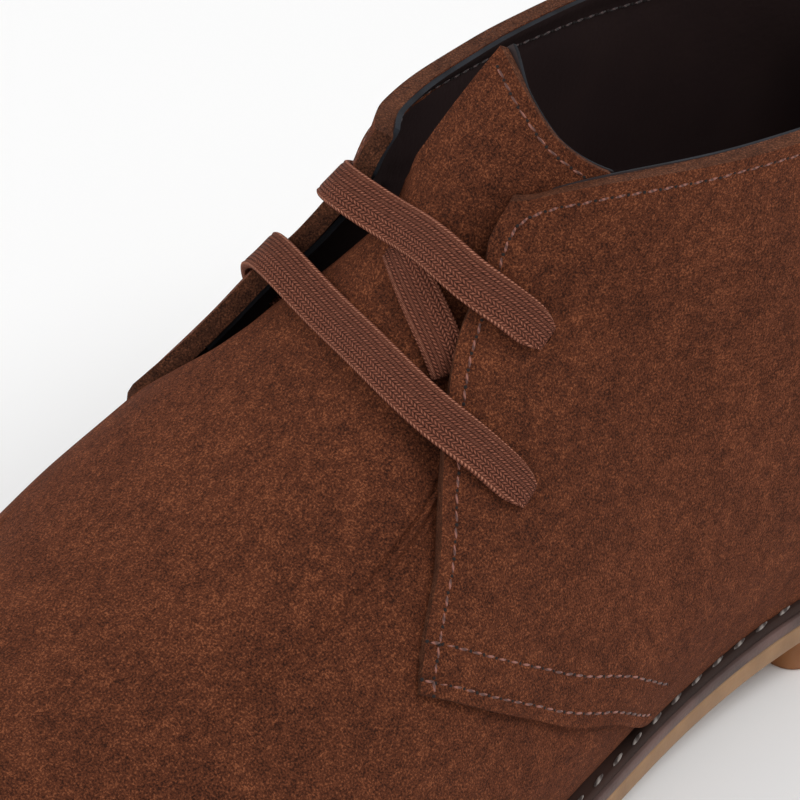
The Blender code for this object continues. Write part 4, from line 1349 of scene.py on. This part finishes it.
def bar_line(eyelets, crossings, tops):
    """A bar's middles, normals and shares of the full width: over both facings and the ridge."""
    halves = []
    for quarter, (station, height), crossing, top in zip((LATERAL, MEDIAL), eyelets, crossings, tops):
        share, lift, stand, width = np.array(BAR_HALF).T
        at = station + (crossing - station) * share
        up = height + (float(quarter.facing(crossing)) + BAR_LAP - height) * share
        lift = quarter.lift(at, up) + lift * MM + stand * BAR_STAND
        at, up, lift = np.append(at, top), np.append(up, BAR_TOP_HEIGHT), np.append(lift, BAR_RIDGE_LIFT)
        side = np.full(len(at), float(quarter.side))
        normals = last_normal(at, up, side)
        normals[-2] += normals[-1] * BAR_LEVEL
        halves.append((on_last(at, up, side, lift), normals, np.append(width, 1.0)))
    return [np.concatenate([lateral, medial[::-1]]) for lateral, medial in zip(*halves)]


def lace_profile():
    """Half a lace's cross-section: places across and rises, with a raised border and a valley beside it."""
    across = np.sin(np.linspace(-math.pi / 2, math.pi / 2, 27))
    border = np.exp(-((np.abs(across) - 0.90) / 0.07) ** 2)
    valley = np.exp(-((np.abs(across) - 0.76) / 0.06) ** 2)
    rise = np.sqrt(np.maximum(1 - np.abs(across) ** 8, 0)) * (0.84 + 0.16 * border - 0.12 * valley)
    return across, rise, border


def sweep_lace(name, centres, normals, widths, thickness, spacing=0.0007):
    """A flat lace along a path, with a weave map in millimetres and its borders marked for a painted
    highlight.
    """
    length = np.concatenate([[0.0], np.cumsum(np.linalg.norm(np.diff(centres, axis=0), axis=1))])
    count = int(length[-1] / spacing) + 2
    at = np.linspace(0, length[-1], count)
    path = np.stack([smooth_curve(length, axis)(at) for axis in centres.T], 1)
    up = np.stack([smooth_curve(length, axis)(at) for axis in normals.T], 1)
    width = np.interp(at, length, widths)
    width = np.convolve(np.pad(width, 2, mode="edge"), np.full(5, 0.2), mode="valid")
    along = np.gradient(path, axis=0)
    along /= np.linalg.norm(along, axis=1)[:, None]
    across = np.cross(up, along)
    across /= np.linalg.norm(across, axis=1)[:, None]
    up = np.cross(along, across)
    spread, rise, border = lace_profile()
    profile_x = np.concatenate([spread, spread[-2:0:-1]])
    profile_z = np.concatenate([rise, -rise[-2:0:-1]])
    edge = np.concatenate([border, border[-2:0:-1]])
    points = (path[:, None] + across[:, None] * (profile_x[None, :, None] * width[:, None, None] / 2)
              + up[:, None] * (profile_z[None, :, None] * thickness / 2))
    ring = len(profile_x)
    faces = grid_faces(count, ring, closed=True)
    faces += [tuple(range(ring))[::-1], tuple(range((count - 1) * ring, count * ring))]
    item = add_mesh(name, points.reshape(-1, 3), faces)
    weave = item.data.uv_layers.new(name="weave")
    place = np.stack([np.repeat(at, ring), (profile_x[None] * width[:, None] / 2).ravel()], 1) / MM
    corners = np.zeros(len(item.data.loops), np.int32)
    item.data.loops.foreach_get("vertex_index", corners)
    weave.data.foreach_set("uv", place[corners].astype(np.float32).ravel())
    marked = item.data.attributes.new("border", "FLOAT", "POINT")
    marked.data.foreach_set("value", np.tile(edge, count).astype(np.float32))
    face_outward(item)
    item.data.materials.append(finishes()["lace"])
    return item


class BOOT_OT_lace(bpy.types.Operator):
    """Runs the flat lace through the eyelets: two bars and the run between them."""

    bl_idname = "boot.lace"
    bl_label = "Lace"

    def execute(self, context):
        lace = context.scene.boot.lace
        for name, *line in zip(("lace_bar_upper", "lace_bar_lower"), EYELETS, BAR_CROSSINGS, BAR_TOPS):
            centres, normals, widths = bar_line(*line)
            item = sweep_lace(name, centres, normals, widths * lace.width, lace.thickness)
            finish_piece(item, "lace", "lace")
        station, across, lift = np.array(LACE_RUN).T
        side = np.where(across < 0, -1.0, 1.0)
        centres = on_last(station, 1 - np.abs(across), side, lift * MM)
        normals = last_normal(station, 1 - np.abs(across), side)
        widths = np.full(len(centres), lace.run_width)
        run = sweep_lace("lace_run", centres, normals, widths, lace.thickness * RUN_FLATNESS)
        finish_piece(run, "lace", "lace")
        return {"FINISHED"}


# Sole

SOLE_POINTS = 440
# How far each layer stands past the feather line, the welt's row of stitches too
WELT_MARGIN = 0.0029
WELT_ROW = 0.0020
WELT_ROW_LENGTH = 0.72
MIDSOLE_MARGIN = 0.0035
OUTSOLE_MARGIN = 0.0032
HEEL_MARGIN = 0.0026
WELT_THICKNESS = 0.0018
MIDSOLE_THICKNESS = 0.0022
OUTSOLE_THICKNESS = 0.0045
LAYER_GAP = 0.0003
# How far the welt runs in under the upper, and how far it fills its gap to the upper
WELT_INWARD = 0.0010
WELT_FILL = 0.0002
STITCH_LIFT = 0.0003
WELT_ROUNDING = 0.0006
MIDSOLE_ROUNDING = 0.0005
OUTSOLE_ROUNDING = 0.0007
HEEL_LENGTH = 0.072
HEEL_CORNER = 0.0060
HEEL_SIDE = (
    # height, how far it is drawn in
    (0.0060, 0.0002),
    (0.0007, 0.0016),
    (0.0000, 0.0022),
)


def sole_loft(name, sections, capped=True):
    """A sole layer from rings of (margin, height function); a capped one is closed across."""
    rings = []
    for margin, height in sections:
        line = feather_line(margin, SOLE_POINTS)
        rings.append(in_world(line[:, 0], line[:, 1], height(line[:, 1])))
    count = SOLE_POINTS
    rows = len(rings)
    faces = []
    for row in range(rows if not capped else rows - 1):
        below = (row + 1) % rows
        for i in range(count):
            j = (i + 1) % count
            faces.append((row * count + i, below * count + i, below * count + j, row * count + j))
    if capped:
        half = count // 2
        for row, turned in ((0, False), (rows - 1, True)):
            base = row * count
            for i in range(half):
                far, near = (count - i - 1) % count, (count - i) % count
                corners = list(dict.fromkeys((base + i, base + i + 1, base + far, base + near)))
                faces.append(tuple(corners[::-1] if turned else corners))
    item = add_mesh(name, np.concatenate(rings), faces)
    face_outward(item)
    item.data.set_sharp_from_angle(angle=math.radians(SHARP_ANGLE))
    return item


def rounded_edge(margin, top, bottom, radius):
    """Sections of a layer's side with both of its edges rounded, from top to bottom."""
    turns = (0.0, 0.3, 0.65, 1.0)
    sections = []
    for turn in turns:
        angle = turn * math.pi / 2
        sections.append((margin - radius * (1 - math.sin(angle)),
                         lambda run, drop=radius * (1 - math.cos(angle)): top(run) - drop))
    for turn in turns[::-1]:
        angle = turn * math.pi / 2
        sections.append((margin - radius * (1 - math.sin(angle)),
                         lambda run, rise=radius * (1 - math.cos(angle)): bottom(run) + rise))
    return sections


def welt_top(run):
    return bed(run) - LAYER_GAP


def welt_face(run):
    return welt_top(run) + WELT_FILL


def welt_bottom(run):
    return welt_top(run) - WELT_THICKNESS


def midsole_top(run):
    return welt_bottom(run) - LAYER_GAP


def midsole_bottom(run):
    return midsole_top(run) - MIDSOLE_THICKNESS


def outsole_top(run):
    return midsole_bottom(run) - LAYER_GAP


def outsole_bottom(run):
    return np.maximum(outsole_top(run) - OUTSOLE_THICKNESS, 0.0)


def heel_outline(margin):
    """The heel's outline: the sole's rear to the breast, with rounded breast corners."""
    ring = feather_line(margin, 1200)
    rear = ring[ring[:, 1] <= HEEL_LENGTH]
    first, last = rear[0], rear[-1]
    for end in (first, last):
        rear = rear[np.linalg.norm(rear - end, axis=1) > HEEL_CORNER]
    rear = even_steps(rear, 150)
    toward = (first - last) / np.linalg.norm(first - last)
    share = np.linspace(0, 1, 9)[1:-1, None]

    def bend(start, middle, end):
        return start * (1 - share) ** 2 + 2 * middle * share * (1 - share) + end * share ** 2

    entry = last + toward * HEEL_CORNER
    leave = first - toward * HEEL_CORNER
    breast = even_steps(np.array([entry, leave]), 30)
    return np.concatenate([rear, bend(rear[-1], last, entry), breast, bend(leave, first, rear[0])])


def build_heel(finish):
    """The heel block: tapered down to the floor, its lower edge rounded."""
    line = heel_outline(HEEL_MARGIN)
    rings = [in_world(line[:, 0], line[:, 1], outsole_bottom(line[:, 1]) - LAYER_GAP)]
    for height, drawn_in in HEEL_SIDE:
        line = heel_outline(HEEL_MARGIN - drawn_in)
        rings.append(in_world(line[:, 0], line[:, 1], height))
    count = len(rings[0])
    faces = grid_faces(len(rings), count, closed=True)
    faces += [tuple(range(count)), tuple(range((len(rings) - 1) * count, len(rings) * count))[::-1]]
    item = add_mesh("heel_block", np.concatenate(rings), faces)
    face_outward(item)
    item.data.set_sharp_from_angle(angle=math.radians(SHARP_ANGLE))
    item.data.materials.append(finish)
    return finish_piece(item, "heel_rubber", "heel")


class BOOT_OT_sole(bpy.types.Operator):
    """Makes the welt with its stitches, the midsole edge, the outsole, the heel and the insole's finish."""

    bl_idname = "boot.sole"
    bl_label = "Sole"

    def execute(self, context):
        thread = context.scene.boot.thread
        finish = finishes()
        ring = rounded_edge(WELT_MARGIN, welt_face, welt_bottom, WELT_ROUNDING)
        ring = [(-WELT_INWARD, welt_face)] + ring + [(-WELT_INWARD, welt_bottom)]
        welt = sole_loft("welt_strip", ring, capped=False)
        welt.data.materials.append(finish["welt"])
        finish_piece(welt, "welt", "welt")
        line = feather_line(WELT_ROW, int(WELT_ROW_LENGTH / thread.welt_pitch))
        line = in_world(line[:, 0], line[:, 1], welt_top(line[:, 1]) + STITCH_LIFT)
        line = np.concatenate([line, line[:1]])
        up = np.tile((0.0, 0.0, 1.0), (len(line), 1))
        tree = MADE.setdefault("stitch tree", stitch_tree())
        stitches = lay_stitches("welt_stitches", tree, [stitch_row(line, up)], finish["welt_thread"],
                                thread.welt_length, *WELT_THREAD)
        finish_piece(stitches, "welt")
        midsole = sole_loft("midsole_band", rounded_edge(MIDSOLE_MARGIN, midsole_top, midsole_bottom,
                                                         MIDSOLE_ROUNDING))
        midsole.data.materials.append(finish["midsole"])
        finish_piece(midsole, "midsole", "midsole")
        outsole = sole_loft("outsole_unit", rounded_edge(OUTSOLE_MARGIN, outsole_top, outsole_bottom,
                                                         OUTSOLE_ROUNDING))
        outsole.data.materials.append(finish["outsole"])
        finish_piece(outsole, "outsole", "outsole")
        build_heel(finish["heel"])
        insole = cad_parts["insole"]
        insole.data.materials.clear()
        insole.data.materials.append(finish["lining"])
        return {"FINISHED"}


# Stage

# The photograph's view, fitted to the boot: turn and height in degrees, distance in metres
VIEW_AZIMUTH = 44.94
VIEW_ELEVATION = 32.38
VIEW_ROLL = 2.54
VIEW_DISTANCE = 0.82742
VIEW_SCALE = 5.72
VIEW_TARGET = (0.0, 0.150, 0.080)
VIEW_CENTRE = (396.3, 395.9)
FRAME_PIXELS = 800
SENSOR_WIDTH = 36.0
FLOOR_SIZE = 6.0
FLOOR_TONES = ((0.84, 0.84, 0.84, 1.0), (0.86, 0.86, 0.86, 1.0))
WORLD_STRENGTH = 0.78
LIGHT_TARGET = (0.0, 0.0, 0.05)
# Name, place, size in metres and power
LIGHTS = (("key", (0.75, 0.35, 1.25), 0.7, 8.8), ("fill", (-0.6, -1.1, 0.9), 0.9, 6.0))


def add_light(name, place, size, power):
    data = bpy.data.lights.new(name, "AREA")
    data.shape = "DISK"
    data.size = size
    data.energy = power
    lamp = bpy.data.objects.new(name, data)
    lamp.location = place
    lamp.rotation_euler = (Vector(LIGHT_TARGET) - Vector(place)).to_track_quat("-Z", "Y").to_euler()
    bpy.context.scene.collection.objects.link(lamp)
    return lamp


def add_camera():
    """The camera at the photograph's angle."""
    turn, rise, roll = (math.radians(value) for value in (VIEW_AZIMUTH, VIEW_ELEVATION, VIEW_ROLL))
    back = Vector((math.sin(turn) * math.cos(rise), -math.cos(turn) * math.cos(rise), math.sin(rise)))
    right = Vector((math.cos(turn), math.sin(turn), 0.0))
    up = back.cross(right)
    tilted_right = right * math.cos(roll) + up * math.sin(roll)
    tilted_up = back.cross(tilted_right)
    side, run, height = VIEW_TARGET
    target = Vector(tuple(float(value) for value in in_world(np.float64(side), np.float64(run), height)))
    data = bpy.data.cameras.new("camera")
    focal_pixels = VIEW_SCALE * VIEW_DISTANCE / MM
    data.sensor_width = SENSOR_WIDTH
    data.lens = focal_pixels * SENSOR_WIDTH / FRAME_PIXELS
    data.shift_x = (FRAME_PIXELS / 2 - VIEW_CENTRE[0]) / FRAME_PIXELS
    data.shift_y = (VIEW_CENTRE[1] - FRAME_PIXELS / 2) / FRAME_PIXELS
    data.clip_start = 0.05
    data.clip_end = 20.0
    camera = bpy.data.objects.new("camera", data)
    matrix = Matrix((tilted_right, tilted_up, back)).transposed().to_4x4()
    matrix.translation = target + back * VIEW_DISTANCE
    camera.matrix_world = matrix
    bpy.context.scene.collection.objects.link(camera)
    bpy.context.scene.camera = camera


class BOOT_OT_stage(bpy.types.Operator):
    """Sets the floor, the studio light and the camera."""

    bl_idname = "boot.stage"
    bl_label = "Stage"

    def execute(self, context):
        work = bmesh.new()
        bmesh.ops.create_grid(work, x_segments=1, y_segments=1, size=FLOOR_SIZE)
        data = bpy.data.meshes.new("floor")
        work.to_mesh(data)
        work.free()
        floor = bpy.data.objects.new("floor", data)
        context.scene.collection.objects.link(floor)
        made, build, shader, place = start_material("floor", 0.7)
        tone = build.noise(place, 3.0)
        build.feed(shader.inputs["Base Color"], build.mix(tone, *FLOOR_TONES))
        floor.data.materials.append(made)
        world = bpy.data.worlds.new("studio")
        context.scene.world = world
        world.use_nodes = True
        world.node_tree.nodes["Background"].inputs["Color"].default_value = (1.0, 1.0, 1.0, 1.0)
        world.node_tree.nodes["Background"].inputs["Strength"].default_value = WORLD_STRENGTH
        for light in LIGHTS:
            add_light(*light)
        context.scene.view_settings.view_transform = "Standard"
        add_camera()
        return {"FINISHED"}


OPERATORS = (BOOT_OT_upper, BOOT_OT_seams, BOOT_OT_lace, BOOT_OT_sole, BOOT_OT_stage)


class BOOT_PT_panel(bpy.types.Panel):
    """Lists the boot's pieces in the sidebar."""

    bl_idname = "BOOT_PT_panel"
    bl_label = "Chukka boot"
    bl_space_type = "VIEW_3D"
    bl_region_type = "UI"
    bl_category = "Boot"

    def draw(self, context):
        for operator in OPERATORS:
            self.layout.operator(operator.bl_idname)
        boot = context.scene.boot
        for group in (boot.leather, boot.thread, boot.lace, boot.colours):
            box = self.layout.box()
            for name in group.bl_rna.properties.keys():
                if name not in ("rna_type", "name"):
                    box.prop(group, name)


CLASSES = (BootLeather, BootThread, BootLace, BootColours, BootSettings) + OPERATORS + (BOOT_PT_panel,)


def register():
    for item in CLASSES:
        bpy.utils.register_class(item)
    bpy.types.Scene.boot = bpy.props.PointerProperty(
        type=BootSettings, name="Boot", description="The boot's sizes and colours")


def unregister():
    del bpy.types.Scene.boot
    for item in reversed(CLASSES):
        bpy.utils.unregister_class(item)


def main():
    register()
    bpy.ops.boot.upper()
    bpy.ops.boot.seams()
    bpy.ops.boot.lace()
    bpy.ops.boot.sole()
    bpy.ops.boot.stage()


if __name__ == "__main__":
    main()
